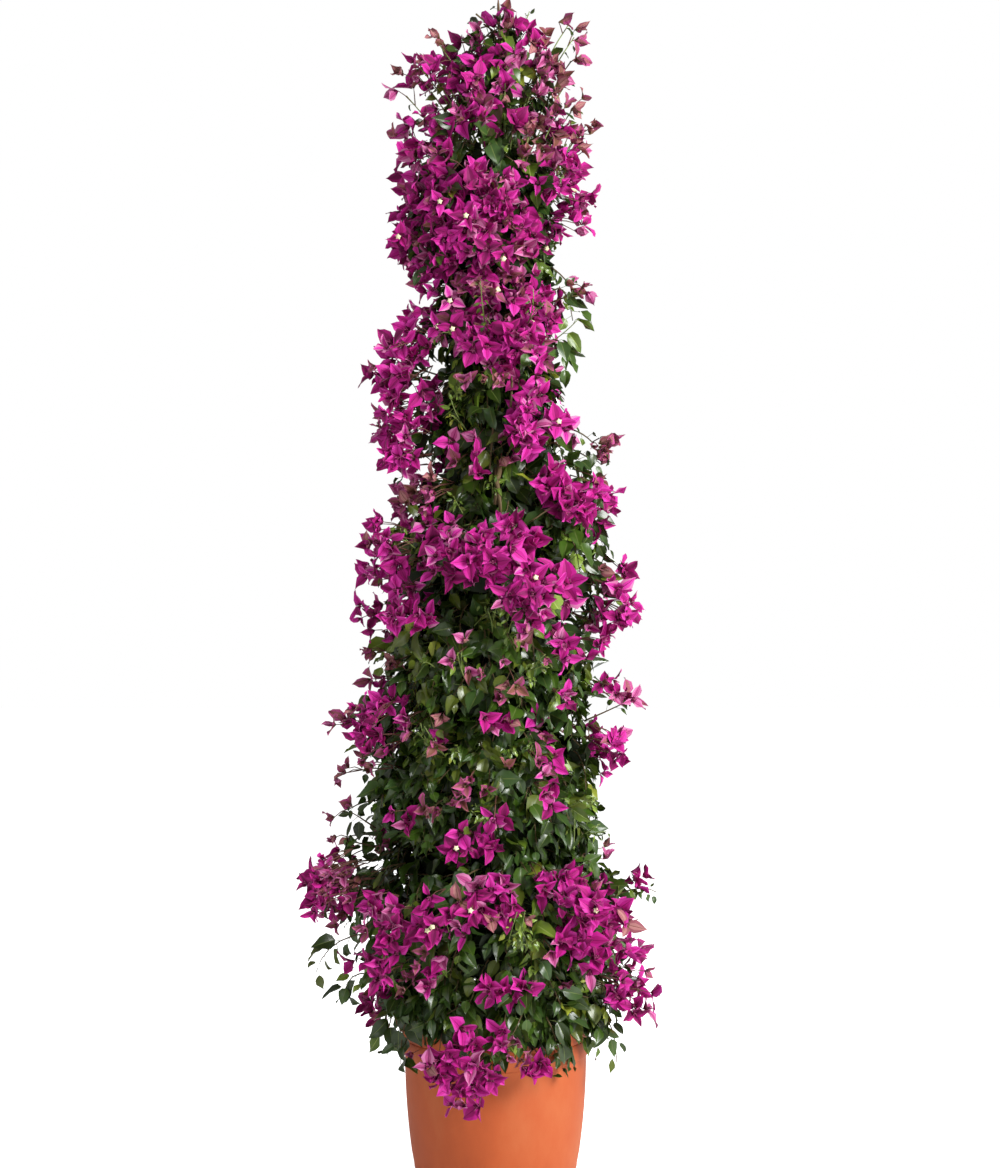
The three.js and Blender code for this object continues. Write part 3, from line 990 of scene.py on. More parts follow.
def growInnerLeaves():
    draw = np.random.default_rng(77)
    habit = innerHabit
    for _ in range(habit["count"]):
        height = draw.uniform(*habit["heights"]) * cadHigh.z
        bearing = draw.uniform(0, 2 * math.pi)
        hits = shellHits(height, bearing)
        if not hits:
            continue
        middle = onStem(height)
        radius = (hits[-1][0] - middle).length
        out = outwardAt(bearing)
        reach = max(radius - habit["within"], habit["leastReach"]) * draw.uniform(*habit["reach"])
        spot = middle + out * reach
        if insidePot(spot, habit["offPot"]):
            continue
        axis = unit(-up * 0.6 + fanOut(draw, 0.6))
        face = unit(out + fanOut(draw, 0.5))
        length = draw.uniform(*habit["length"])
        if spot.z > habit["smallAbove"]:
            length *= habit["smallSize"]
        innerLeaves.add(spot, axis, face, length, length * habit["slimness"], 0.2, 0.3, 0.03, 0.0, 0)


# Bloom is bracts in threes round three small flowers.
bloomHabit = {
    "spacing": 19 * mm,
    "length": {"vivid": (24 * mm, 33 * mm), "mixed": (23 * mm, 31 * mm), "dusty": (19 * mm, 27 * mm)},
    "opening": {"vivid": (0.45, 1.02), "mixed": (0.32, 0.85), "dusty": (0.16, 0.55)},
    "slimness": (0.66, 0.84),
    "fold": (0.3, 0.95),
    "bend": (-0.3, 1.15),
    "wave": (0.07, 0.17),
    "twist": 0.45,
    "sameTint": 0.8,
    "bractOut": 1.2 * mm,
    "budOut": 2.2 * mm,
    "budReach": (0.32, 0.5),
    "starReach": 0.55,
    "uneven": {"turn": 0.2, "lean": 0.17, "length": (0.85, 1.15)},
    "knot": {"rootIn": (0.7, 1.3), "rootUp": (-0.1, 0.6), "facing": 0.42, "size": (0.82, 1.12)},
    "branch": {"forkIn": 17 * mm, "twig": (1.5 * mm, 1.0 * mm), "leaves": 3, "leafSize": 0.6},
    "deepBelow": 0.56,  # the fresh bloom is deepest low down and in the heart of the column
    "deepBetween": (1.42, 1.6),
    "branchBeyond": 0.05,
}
tones = {
    "deep": {"vivid": 0.24, "rich": 0.44, "purple": 0.27, "rose": 0.05},
    "vivid": {"vivid": 0.4, "rich": 0.32, "hot": 0.12, "purple": 0.14, "rose": 0.02},
    "mixed": {
        "vivid": 0.16, "rich": 0.2, "hot": 0.03, "purple": 0.12, "rose": 0.22, "pale": 0.07, "dusty": 0.14,
        "faded": 0.06},
    "dusty": {"rose": 0.2, "pale": 0.08, "dusty": 0.36, "faded": 0.18, "russet": 0.18},
}
toneNames = ("vivid", "mixed", "dusty")
# How much of each part's bloom is fresh, half and half, or dusty.
toneOf = {
    "top": (0.5, 0.3, 0.2), "top_right": (0.12, 0.4, 0.48), "top_left": (0.45, 0.35, 0.2),
    "upper_front": (0.5, 0.35, 0.15), "upper_right": (0.3, 0.4, 0.3), "heart": (0.82, 0.14, 0.04),
    "breast": (0.4, 0.36, 0.24), "left_spray": (0.8, 0.15, 0.05), "left_tail": (0.75, 0.18, 0.07),
    "chest": (0.7, 0.22, 0.08), "shoulder": (0.75, 0.17, 0.08), "waist_left": (0.5, 0.3, 0.2),
    "waist_front": (0.8, 0.15, 0.05), "waist_right": (0.8, 0.15, 0.05), "outer_right": (0.6, 0.3, 0.1),
    "hip_left": (0.42, 0.36, 0.22), "hip_right": (0.7, 0.2, 0.1), "outer_left": (0.45, 0.35, 0.2),
    "low_left": (0.5, 0.34, 0.16), "low_front": (0.6, 0.26, 0.14), "low_right": (0.68, 0.22, 0.1),
    "knee_right": (0.6, 0.3, 0.1), "hanging": (0.66, 0.22, 0.12),
}
usualTone = (0.55, 0.28, 0.17)


def tintSharesAt(place, tone):
    low, high = bloomHabit["deepBetween"]
    deep = place.z < bloomHabit["deepBelow"] or low < place.z < high
    return tones["deep" if deep and tone == "vivid" else tone]


def acrossOf(facing):
    # Two ways square to the one given and to each other.
    first = unit(facing.cross(up if abs(facing.z) < 0.9 else Vector((1, 0, 0))))
    return first, facing.cross(first)


def growTriple(draw, place, facing, size, tone, star=False):
    habit, uneven = bloomHabit, bloomHabit["uneven"]
    facing = unit(facing)
    shares = tintSharesAt(place, tone)
    first, second = acrossOf(facing)
    spin = draw.uniform(0, 2 * math.pi)
    openness = 1.0 if star else draw.uniform(*habit["opening"][tone])
    length = draw.uniform(*habit["length"][tone]) * size
    if insidePot(place + facing * length * 0.7):
        return False
    mainTint = drawTint(draw, shares, bractTints)
    triple = []
    for third in range(3):
        angle = spin + third * 2 * math.pi / 3 + draw.normal(0, uneven["turn"])
        away = first * math.cos(angle) + second * math.sin(angle)
        lean = openness + draw.normal(0, uneven["lean"])
        axis = facing * math.cos(lean) + away * math.sin(lean)
        face = facing * math.sin(lean) - away * math.cos(lean)
        tint = mainTint if draw.random() < habit["sameTint"] else drawTint(draw, shares, bractTints)
        bractLength = length * draw.uniform(*uneven["length"])
        if not insideLimits(place + axis * bractLength):
            return False
        triple.append((
            place + away * habit["bractOut"], axis, face, bractLength,
            bractLength * draw.uniform(*habit["slimness"]), *drawCurve(draw, habit), tint))
    for bract in triple:
        bracts.add(*bract)
    for third in range(2 if star else 3):
        angle = spin + (third + 0.5) * 2 * math.pi / 3
        away = first * math.cos(angle) + second * math.sin(angle)
        mouth = place + facing * length * draw.uniform(*habit["budReach"]) + away * habit["budOut"]
        budTubes.append((place, mouth, tone == "dusty"))
    if star:
        mouth = place + facing * length * habit["starReach"]
        starFlowers.append((place, mouth, facing, draw.uniform(0, 1.2)))
    return True


def growKnot(draw, place, normal, out, tone, count, starChance, proud, spread=9 * mm, reach=0.032):
    # A knot of bloom on short stalks, from one point on a hanging twig.
    knot, branch = bloomHabit["knot"], bloomHabit["branch"]
    root = place - out * reach * draw.uniform(*knot["rootIn"]) + up * reach * draw.uniform(*knot["rootUp"])
    if reach > bloomHabit["branchBeyond"]:
        fork = place - out * branch["forkIn"] + up * 2 * mm
        curve = (root, root.lerp(fork, 0.6) + up * 12 * mm, fork)
        addTwig(curve, *branch["twig"], brownTwig)
        faced = unit(normal + out * 0.5)
        leafUp(draw, curve, branch["leaves"], 0.2, branch["leafSize"], tintShares["usual"], faced)
        root = fork
    for _ in range(count):
        facing = unit(normal * 0.5 + out * 0.7 + fanOut(draw, knot["facing"]) - up * 0.05)
        spot = place + normal * draw.uniform(*proud) + fanOut(draw, spread)
        star = draw.random() < starChance
        if growTriple(draw, spot, facing, draw.uniform(*knot["size"]), tone, star):
            addBloomStalk(root, root * 0.4 + spot * 0.6 + up * 3 * mm, spot)


def drawTone(draw, shares):
    return toneNames[draw.choice(3, p=np.array(shares) / sum(shares))]


# Knots of bloom seen from the front: across and up in millimetres, on an upright plane a little
# way before the stem, how full they are, and the tone: v vivid, m mixed, d dusty.
frontKnots = [
    # hanging spray on the left
    (-148, 1300, 3, "v"), (-123, 1315, 3, "v"), (-128, 1290, 3, "v"), (-173, 1275, 1, "d"),
    (-177, 1248, 2, "v"), (-143, 1256, 2, "m"), (-123, 1260, 2, "v"), (-91, 1238, 2, "m"),
    (-148, 1231, 2, "v"), (-165, 1211, 2, "v"), (-173, 1186, 1, "d"), (-143, 1181, 3, "v"),
    (-130, 1176, 2, "v"), (-105, 1193, 2, "v"), (-145, 1146, 2, "v"), (-133, 1136, 3, "v"),
    (-141, 1124, 2, "v"), (-158, 1141, 2, "v"), (-88, 1131, 2, "v"), (-61, 1126, 1, "m"),
    (-28, 1126, 2, "m"), (-63, 1166, 1, "m"), (-28, 1166, 1, "m"), (-43, 1253, 1, "d"),
    (-1, 1250, 2, "d"),
    # breast, lower edge, and the chain down the right
    (-33, 1285, 2, "m"), (1, 1282, 2, "m"), (-38, 1310, 3, "v"), (-8, 1315, 3, "v"), (20, 1312, 3, "v"),
    (71, 1290, 2, "m"), (51, 1270, 2, "v"), (63, 1303, 1, "d"), (46, 1322, 2, "m"), (80, 1345, 2, "m"),
    (51, 1211, 3, "v"), (76, 1223, 2, "v"), (41, 1201, 3, "v"), (31, 1176, 2, "v"), (96, 1186, 2, "v"),
    (113, 1181, 1, "v"), (58, 1151, 2, "v"), (46, 1166, 2, "v"), (163, 1159, 3, "d"), (163, 1131, 1, "d"),
    (91, 1104, 3, "v"), (78, 1096, 2, "v"), (108, 1091, 2, "v"), (158, 1082, 3, "v"), (140, 1077, 3, "v"),
    (130, 1067, 3, "v"), (110, 1051, 2, "v"), (160, 1096, 1, "d"), (125, 1051, 2, "v"),
    (101, 1067, 1, "m"),
    # waist, left
    (-93, 1099, 2, "d"), (-113, 1099, 2, "d"), (-133, 1077, 2, "d"), (-123, 1062, 2, "d"),
    (-143, 1051, 2, "m"), (-173, 1032, 2, "v"), (-158, 1013, 3, "v"), (-128, 1032, 2, "m"),
    (-182, 1007, 2, "m"), (-197, 957, 2, "v"), (-173, 973, 3, "v"), (-138, 967, 3, "m"),
    (-148, 942, 3, "v"), (-118, 948, 2, "m"), (-133, 913, 3, "v"), (-113, 888, 3, "v"),
    (-148, 893, 2, "v"), (-187, 898, 2, "v"), (-173, 868, 2, "m"), (-88, 933, 1, "v"),
    (-105, 1000, 2, "m"), (-100, 970, 2, "m"),
    # waist, front
    (-83, 1012, 2, "v"), (-58, 1022, 3, "v"), (-73, 982, 3, "v"), (-48, 992, 3, "v"), (-28, 1022, 3, "v"),
    (-28, 982, 3, "v"), (-51, 953, 2, "v"), (1, 1037, 2, "v"), (16, 1042, 2, "v"), (26, 1012, 3, "v"),
    (51, 1012, 3, "v"), (6, 992, 3, "v"), (-4, 966, 3, "v"), (26, 973, 3, "v"), (41, 980, 2, "v"),
    (31, 937, 3, "v"), (51, 933, 3, "v"), (46, 908, 2, "v"), (71, 903, 3, "v"), (81, 933, 2, "v"),
    (101, 942, 2, "v"), (110, 948, 2, "v"), (41, 888, 2, "m"), (16, 933, 2, "v"), (31, 914, 2, "v"),
    # outlying on the right
    (185, 973, 2, "v"), (160, 962, 1, "d"), (180, 937, 2, "v"), (195, 918, 4, "v"), (210, 903, 1, "v"),
    (165, 937, 1, "m"), (160, 883, 3, "v"), (167, 870, 2, "v"), (157, 860, 2, "v"), (105, 853, 2, "v"),
    (113, 832, 2, "v"), (92, 862, 1, "m"), (100, 773, 2, "v"), (167, 781, 2, "m"), (198, 765, 1, "m"),
    (172, 710, 2, "m"), (176, 690, 2, "v"), (178, 676, 1, "v"), (64, 675, 2, "m"), (95, 675, 2, "m"),
    (61, 729, 2, "v"),
    # small dull ones in the middle
    (17, 832, 1, "d"), (-37, 812, 1, "d"), (-19, 802, 1, "d"), (23, 794, 1, "d"), (12, 786, 2, "d"),
    (-86, 745, 1, "d"), (-8, 742, 2, "m"), (-12, 728, 1, "d"), (20, 742, 1, "m"), (80, 715, 1, "d"),
    (-60, 830, 1, "d"), (75, 830, 1, "d"), (110, 735, 1, "d"), (-40, 860, 1, "d"), (40, 850, 1, "d"),
    # down the left edge
    (-183, 842, 2, "d"), (-158, 830, 2, "d"), (-173, 796, 2, "m"), (-160, 770, 2, "m"),
    (-199, 755, 2, "m"), (-226, 732, 2, "m"), (-204, 725, 2, "v"), (-168, 709, 3, "m"),
    (-127, 734, 3, "m"), (-147, 719, 2, "m"), (-117, 709, 1, "d"), (-70, 716, 1, "m"), (-86, 701, 1, "d"),
    (-189, 668, 2, "d"), (-217, 662, 2, "d"), (-235, 604, 1, "d"), (-180, 745, 2, "m"),
    (-200, 690, 1, "d"), (-240, 560, 1, "d"),
    # outlying on the left
    (-260, 520, 2, "m"), (-266, 490, 3, "v"), (-270, 468, 3, "v"), (-249, 506, 2, "d"),
    (-236, 516, 2, "m"), (-271, 461, 2, "v"), (-233, 494, 2, "d"), (-247, 465, 3, "m"),
    (-257, 480, 3, "m"), (-223, 475, 2, "d"), (-228, 500, 2, "d"), (-238, 530, 1, "d"),
    (-214, 465, 1, "d"), (-258, 500, 2, "d"), (-244, 446, 2, "d"), (-206, 500, 1, "d"),
    (-210, 520, 1, "d"),
    # knee
    (-37, 642, 2, "d"), (-60, 618, 2, "d"), (-8, 632, 1, "d"), (2, 600, 2, "v"), (17, 657, 1, "d"),
    (74, 632, 2, "m"), (-137, 593, 2, "m"), (-101, 600, 2, "d"), (-160, 559, 2, "m"), (-60, 545, 3, "v"),
    (-13, 547, 3, "v"), (-30, 570, 1, "d"), (-35, 530, 1, "v"),
    # low band, left and middle
    (-175, 461, 3, "m"), (-151, 421, 4, "v"), (-169, 380, 3, "v"), (-175, 356, 2, "v"),
    (-192, 432, 2, "m"), (-93, 461, 3, "v"), (-64, 461, 3, "m"), (-93, 426, 2, "v"), (-59, 409, 3, "v"),
    (-41, 415, 3, "m"), (-114, 380, 2, "d"), (-134, 356, 2, "d"), (-90, 345, 2, "v"), (-157, 322, 2, "v"),
    (-186, 310, 2, "v"), (-105, 316, 2, "d"), (-70, 313, 2, "m"), (-35, 473, 2, "v"), (11, 484, 4, "v"),
    (28, 467, 4, "v"), (-9, 456, 3, "v"), (-20, 488, 2, "v"), (-75, 440, 3, "v"), (-20, 440, 2, "m"),
    (40, 438, 1, "d"), (-140, 448, 2, "v"), (-120, 430, 2, "m"), (-155, 400, 2, "v"),
    # low band, right
    (92, 496, 4, "v"), (69, 506, 2, "v"), (115, 496, 2, "v"), (86, 473, 3, "v"), (144, 496, 1, "d"),
    (150, 449, 3, "v"), (127, 432, 3, "v"), (104, 426, 3, "v"), (133, 409, 3, "v"), (179, 426, 3, "v"),
    (190, 443, 2, "m"), (206, 397, 3, "v"), (190, 391, 2, "v"), (86, 397, 2, "m"), (150, 380, 2, "v"),
    (165, 405, 2, "v"),
    # under the band
    (-6, 330, 2, "v"), (11, 322, 2, "v"), (11, 350, 1, "m"), (34, 327, 2, "v"), (49, 330, 1, "m"),
    (109, 333, 1, "d"), (188, 342, 3, "v"), (179, 322, 2, "v"), (226, 350, 1, "d"), (222, 318, 2, "v"),
    (205, 310, 2, "v"), (100, 345, 1, "d"),
    # over the pot
    (-41, 278, 2, "d"), (-59, 257, 2, "m"), (-35, 246, 2, "v"), (8, 252, 3, "v"), (23, 235, 3, "d"),
    (66, 220, 3, "v"), (-128, 232, 1, "d"), (-87, 223, 2, "v"), (-68, 232, 2, "v"), (-24, 216, 3, "v"),
    (-82, 195, 3, "v"), (-60, 180, 2, "v"), (-53, 168, 3, "v"), (-22, 174, 3, "v"), (-35, 199, 2, "m"),
    (-90, 208, 2, "m"), (-5, 228, 2, "m"), (-12, 195, 2, "v"), (40, 228, 1, "d"),
    # singles near the top of the dense part
    (128, 1398, 2, "d"), (-25, 1405, 1, "d"), (105, 1538, 2, "v"), (124, 1532, 2, "v"),
    (128, 1510, 1, "d"), (110, 1568, 2, "v"), (124, 1570, 1, "m"), (-132, 1590, 2, "m"),
    (-112, 1600, 2, "m"), (-85, 1606, 1, "m"),
]
toneLetters = {"v": "vivid", "m": "mixed", "d": "dusty"}

# Open cream flowers, in the same way.
starPlaces = [
    (-82, 1526), (-43, 1502), (-143, 1473), (13, 1445), (-115, 1360), (-68, 1377), (-87, 1334),
    (-64, 1336), (93, 1190), (58, 952), (-60, 546), (-36, 448), (-91, 428), (-102, 421), (151, 449),
]

# Young green shoots, in the same way, with the size of their leaves.
freshPlaces = [
    (-5, 882, 0.42), (22, 900, 0.4), (0, 910, 0.38), (20, 868, 0.4), (40, 800, 0.36), (60, 815, 0.34),
    (-55, 810, 0.34), (40, 757, 1.05), (-105, 823, 0.8), (110, 1320, 0.95), (20, 1125, 0.95),
    (-5, 1090, 0.4), (-60, 1060, 0.36), (-145, 1010, 0.36), (-60, 1190, 0.4), (-70, 1230, 0.36),
    (38, 400, 0.4), (52, 392, 0.38), (20, 396, 0.36), (110, 330, 0.36), (125, 610, 0.36),
    (140, 560, 0.36), (-60, 690, 0.36), (-90, 690, 0.34), (-110, 700, 0.36), (60, 1350, 0.36),
    (-20, 1352, 0.4), (-12, 1262, 0.6), (-95, 965, 0.36), (20, 690, 0.34), (80, 745, 0.34),
    (-15, 600, 0.36), (-25, 585, 0.36), (60, 700, 0.34), (-80, 1330, 0.36), (-110, 1000, 0.34),
]

# Sprigs that hang clear of the column: where each begins and ends, how many leaves, their size,
# and the bloom at its end.
sprigs = [
    ((-170, -60, 400), (-262, -70, 405), (-280, -70, 340), 7, 1.02, 0, "vivid"),
    ((-180, -50, 330), (-240, -60, 350), (-236, -60, 290), 6, 0.95, 0, "vivid"),
    ((-140, -70, 290), (-170, -90, 290), (-168, -90, 215), 6, 0.95, 0, "vivid"),
    ((-120, -90, 290), (-148, -110, 280), (-146, -110, 205), 5, 0.95, 0, "vivid"),
    ((130, -60, 290), (188, -60, 290), (190, -60, 196), 6, 0.95, 0, "vivid"),
    ((60, -130, 300), (90, -172, 290), (98, -172, 222), 4, 1.15, 0, "vivid"),
    ((160, -40, 440), (225, -50, 480), (252, -50, 462), 6, 0.45, 0, "vivid"),
    ((-190, -30, 560), (-216, -40, 580), (-228, -40, 586), 6, 0.7, 1, "dusty"),
    ((-190, -30, 530), (-222, -40, 540), (-236, -40, 540), 6, 0.7, 1, "dusty"),
    ((120, -50, 1090), (150, -55, 1130), (172, -55, 1158), 4, 0.6, 5, "dusty"),
    ((140, -40, 730), (185, -50, 750), (208, -50, 762), 3, 0.5, 2, "mixed"),
    ((150, -40, 450), (200, -50, 478), (218, -50, 480), 3, 0.6, 4, "vivid"),
    ((150, -40, 320), (205, -60, 350), (214, -60, 322), 2, 0.6, 4, "vivid"),
    ((90, -40, 1390), (115, -50, 1400), (131, -50, 1398), 1, 0.5, 2, "dusty"),
    ((84, -20, 1330), (108, -30, 1345), (112, -30, 1284), 8, 1.0, 0, "vivid"),
    ((80, -20, 1400), (112, -30, 1440), (122, -30, 1362), 8, 1.0, 0, "vivid"),
    ((90, -70, 1100), (112, -85, 1145), (132, -85, 1140), 7, 0.85, 0, "vivid"),
    ((96, -70, 1075), (136, -80, 1125), (156, -80, 1112), 8, 0.85, 0, "vivid"),
    ((80, -80, 1160), (98, -95, 1180), (106, -95, 1130), 6, 0.9, 0, "vivid"),
    ((110, -40, 1060), (148, -60, 1080), (154, -70, 1005), 9, 1.0, 0, "vivid"),
    ((90, -80, 1030), (122, -105, 1040), (130, -105, 965), 8, 1.0, 0, "vivid"),
    ((120, -40, 960), (152, -60, 1000), (160, -60, 925), 8, 0.95, 0, "vivid"),
    ((-30, -60, 1250), (-80, -70, 1280), (-96, -70, 1215), 6, 0.6, 3, "vivid"),
    ((40, 120, 700), (60, 200, 720), (66, 214, 640), 6, 0.9, 2, "mixed"),
    ((-60, 110, 520), (-90, 190, 540), (-96, 210, 470), 6, 0.9, 3, "vivid"),
    ((30, 100, 1090), (45, 150, 1110), (50, 160, 1040), 6, 0.8, 3, "mixed"),
    ((90, 110, 360), (130, 160, 360), (136, 166, 280), 6, 0.9, 2, "mixed"),
    ((-20, 90, 1420), (-30, 130, 1440), (-34, 136, 1380), 5, 0.7, 3, "vivid"),
]

# Short lengths of old brown shoot seen between the leaves: both ends, and how thick.
oldShoots = [
    ((7, 1134), (0, 1066), 4.6), ((1, 1120), (9, 1050), 3.4), ((26, 1290), (23, 1214), 2.4),
    ((-3, 1196), (-8, 1120), 2.2), ((52, 1040), (92, 1066), 1.3), ((12, 885), (30, 845), 1.2),
]


frontHabit = {
    "plane": -160 * mm,
    "beyond": 20 * mm,  # past this the way has missed the front of the column
    "sides": -20 * mm,
    "forward": (17 * mm, 2 * mm),  # how far a knot comes towards the eye, and what is left clear
    "starForward": (25 * mm, 1 * mm),
    "starSize": 1.02,
    "proud": (-9 * mm, 7 * mm),
    "looseProud": (-4 * mm, 4 * mm),
    "reach": 45 * mm,
    "looseReach": 85 * mm,
    "fullness": (1.45, 0.4),
    "spread": (3 * mm, 2.5 * mm),
    "smallShoots": 0.6,
}


def seenFromFront(across, height):
    # The nearest place on the foliage behind a point on the front of the column. Where the way
    # goes past the foliage, it is the place level with the column's sides.
    through = Vector((across * mm, frontHabit["plane"], height * mm))
    way = unit(through - eyePlace)
    found, normal, _, _ = surface.ray_cast(eyePlace, way)
    if found is None or found.y > frontHabit["beyond"]:
        return eyePlace + way * ((frontHabit["sides"] - eyePlace.y) / way.y), -way, way, False
    return found, normal, way, True


def towardsEye(place, way, push, margin):
    # Moved towards the eye, though never so far that the bracts pass the limits.
    return place - way * max(min(push, (place.y - cadLow.y - margin) / way.y), 0)


def growFrontKnots(draw):
    habit = frontHabit
    for across, height, count, letter in frontKnots:
        found, normal, way, onFoliage = seenFromFront(across, height)
        if onFoliage:
            found = towardsEye(found, way, *habit["forward"])
        out = unit(Vector((found.x, found.y, 0)))
        facing = unit(normal * 0.3 - way * 0.65)
        proud = habit["proud" if onFoliage else "looseProud"]
        reach = habit["reach" if onFoliage else "looseReach"]
        more, extra = habit["fullness"]
        number = count if count == 1 else int(count * more + extra)
        least, each = habit["spread"]
        growKnot(
            draw, found, facing, out, toneLetters[letter], number, 0.0, proud, least + each * count, reach)


def growFrontShoots(draw):
    # The old shoots, the open flowers and the young shoots that have a place of their own.
    for begin, end, thick in oldShoots:
        places = []
        for share in np.linspace(0, 1, 5):
            across = begin[0] + (end[0] - begin[0]) * share + draw.normal(0, 0.8)
            found, _, way, _ = seenFromFront(across, begin[1] + (end[1] - begin[1]) * share)
            places.append(found - way * (4 - 34 * (share - 0.5) ** 2) * mm)
        twigs.append((places, np.linspace(1.0, 0.75, 5) * thick * mm, brownTwig))
    for across, height in starPlaces:
        found, normal, way, _ = seenFromFront(across, height)
        place = towardsEye(found, way, *frontHabit["starForward"])
        facing = unit(-way + normal * 0.3 + fanOut(draw, 0.12))
        growTriple(draw, place, facing, frontHabit["starSize"], "vivid", star=True)
    for across, height, size in freshPlaces:
        found, _, way, _ = seenFromFront(across, height)
        out = unit(Vector((found.x, found.y, 0)))
        for _ in range(2 if size < frontHabit["smallShoots"] else 1):
            growFreshShoot(draw, found - way * 2 * mm, out, size)


def growFreshShoot(draw, place, out, size):
    start = place - out * 0.03 - up * 0.01
    end = place + out * 0.016 + up * draw.uniform(-0.01, 0.034) + fanOut(draw, 0.012)
    curve = (start, place + up * 0.01, end)
    addTwig(curve, 1.1 * mm, 0.6 * mm, greenTwig)
    count = 2 if size > 0.7 else int(draw.integers(5, 9))
    leafUp(draw, curve, count, 0.35, size, tintShares["young"], out, 0.72 if size < 0.7 else 1.0)


def growSprigs():
    draw = np.random.default_rng(9)
    for begin, bend, tip, count, size, blooms, tone in sprigs:
        curve = tuple(Vector(point) * mm for point in (begin, bend, tip))
        out = unit(Vector((curve[2].x, curve[2].y, 0)))
        addTwig(curve, 1.6 * mm, 0.7 * mm, brownTwig)
        faced = unit(out * 0.4 - Vector((0, 0.8, 0))) if curve[2].y < 0 else out
        leafUp(draw, curve, count, 0.35, size, tintShares["usual"], faced, lowest=limits["lowest"])
        for _ in range(blooms):
            spot = curve[2] + fanOut(draw, 8 * mm)
            growTriple(draw, spot, unit(out + fanOut(draw, 0.5)), 0.95, tone)


# The top is loose: long upright shoots with gaps of sky between them.
topHabit = {
    "lowest": 1.6,
    "shoots": 32,
    "inside": 13 * mm,
    "rootBelow": 110 * mm,
    "lowestRoot": 1.42,
    "leftmost": ((1.7, 1.75, 1.8, 1.86), (-0.15, -0.13, -0.1, -0.03)),  # at each height
    "reach": ((1.6, 1.74, 1.88), (0.13, 0.112, 0.02)),
    "clearTop": 85 * mm,
    "bloomSize": (0.92, 1.28),
    "leafSize": (0.42, 0.72),
    "twig": (1.8 * mm, 0.8 * mm),
}
# Shoots that can be told apart at the front: the tip's place, how many triples, and the tone.
topTips = [
    (6, -4, 1886, 0, "v"), (64, -20, 1856, 0, "m"), (17, -30, 1852, 1, "d"), (-44, -30, 1834, 1, "d"),
    (-34, -40, 1804, 1, "d"), (128, -20, 1834, 1, "d"), (137, -20, 1814, 2, "m"),
    (-100, -30, 1800, 2, "v"), (-110, -30, 1784, 1, "d"), (-142, -20, 1766, 2, "m"),
    (-134, -30, 1750, 2, "d"), (-105, -40, 1742, 3, "v"), (-158, -20, 1721, 2, "m"),
    (-2, -50, 1808, 3, "v"), (46, -50, 1810, 2, "v"), (66, -45, 1794, 2, "m"), (41, -60, 1774, 2, "v"),
    (25, -40, 1830, 2, "v"), (94, -40, 1806, 2, "d"), (89, -50, 1774, 3, "d"), (131, -30, 1774, 2, "d"),
    (120, -40, 1732, 2, "d"), (142, -20, 1710, 2, "d"), (67, -60, 1742, 2, "d"), (62, -70, 1716, 2, "d"),
    (-28, -70, 1758, 3, "v"), (-55, -60, 1758, 3, "v"), (-28, -80, 1726, 3, "v"), (17, -80, 1728, 3, "v"),
    (-49, -80, 1704, 3, "v"), (-25, -90, 1684, 3, "m"), (-28, -95, 1657, 3, "m"),
    (-121, -50, 1681, 3, "v"), (-150, -30, 1660, 3, "m"), (-118, -60, 1636, 3, "m"),
    (-89, -80, 1641, 3, "v"), (-142, -40, 1626, 3, "v"), (-65, -90, 1668, 2, "v"),
    (46, -80, 1689, 2, "d"), (30, -90, 1663, 2, "m"), (67, -80, 1668, 2, "d"), (99, -70, 1647, 2, "d"),
    (110, -60, 1689, 2, "d"), (155, -20, 1673, 2, "d"), (136, -40, 1647, 2, "d"),
    (142, -30, 1626, 2, "d"), (57, -90, 1641, 2, "d"), (51, -95, 1596, 3, "m"), (80, -85, 1612, 2, "m"),
    (115, -60, 1599, 3, "v"), (131, -50, 1604, 2, "v"), (0, -70, 1700, 2, "v"), (-80, -60, 1722, 2, "v"),
    (20, -60, 1760, 2, "v"), (-15, -40, 1780, 2, "v"), (75, -30, 1760, 2, "m"),
]


def growTopShoot(draw, tip, blooms, tone, out):
    # A shoot rises from the stem, leans out and ends in a knot of bloom.
    habit = topHabit
    tip = tip - out * habit["inside"]
    tip.x = max(tip.x, float(np.interp(tip.z, *habit["leftmost"])))
    flat = math.hypot(tip.x, tip.y)
    begin = onStem(max(tip.z - habit["rootBelow"] - flat * 0.8, habit["lowestRoot"]))
    middle = begin.lerp(tip, 0.55) + up * (0.015 + flat * 0.08)
    curve = (begin, middle, tip)
    addTwig(curve, *habit["twig"], greenTwig)
    for _ in range(blooms):
        place = tip + fanOut(draw, 0.0085)
        facing = unit(out * 0.8 + up * draw.uniform(-0.2, 0.6) + fanOut(draw, 0.45))
        size = draw.uniform(*habit["bloomSize"])
        growTriple(draw, place, facing, size, tone if draw.random() < 0.7 else "dusty")
        base = alongBezier(curve, 0.9)
        addBloomStalk(base, base.lerp(place, 0.6) + up * 2 * mm, place)
    shares = tintShares["young" if draw.random() < 0.4 else "usual"]
    leafUp(draw, curve, int(draw.integers(4, 9)), 0.3, draw.uniform(*habit["leafSize"]), shares, out)


def growTop():
    draw = np.random.default_rng(15)
    for across, back, height, blooms, letter in topTips:
        tip = Vector((across, back, height)) * mm
        growTopShoot(draw, tip, blooms, toneLetters[letter], unit(Vector((tip.x, tip.y - 0.03, 0))))
    for _ in range(topHabit["shoots"]):
        bearing = draw.uniform(0.5 * math.pi, 1.5 * math.pi)
        height = draw.uniform(topHabit["lowest"], cadHigh.z - topHabit["clearTop"])
        reach = draw.uniform(0.5, 1.0) * float(np.interp(height, *topHabit["reach"]))
        out = outwardAt(bearing)
        tip = onStem(min(height, axisHeights[-1])) + out * reach
        blooms = int(draw.integers(1, 4))
        growTopShoot(draw, tip, blooms, drawTone(draw, (0.4, 0.3, 0.3)), out)


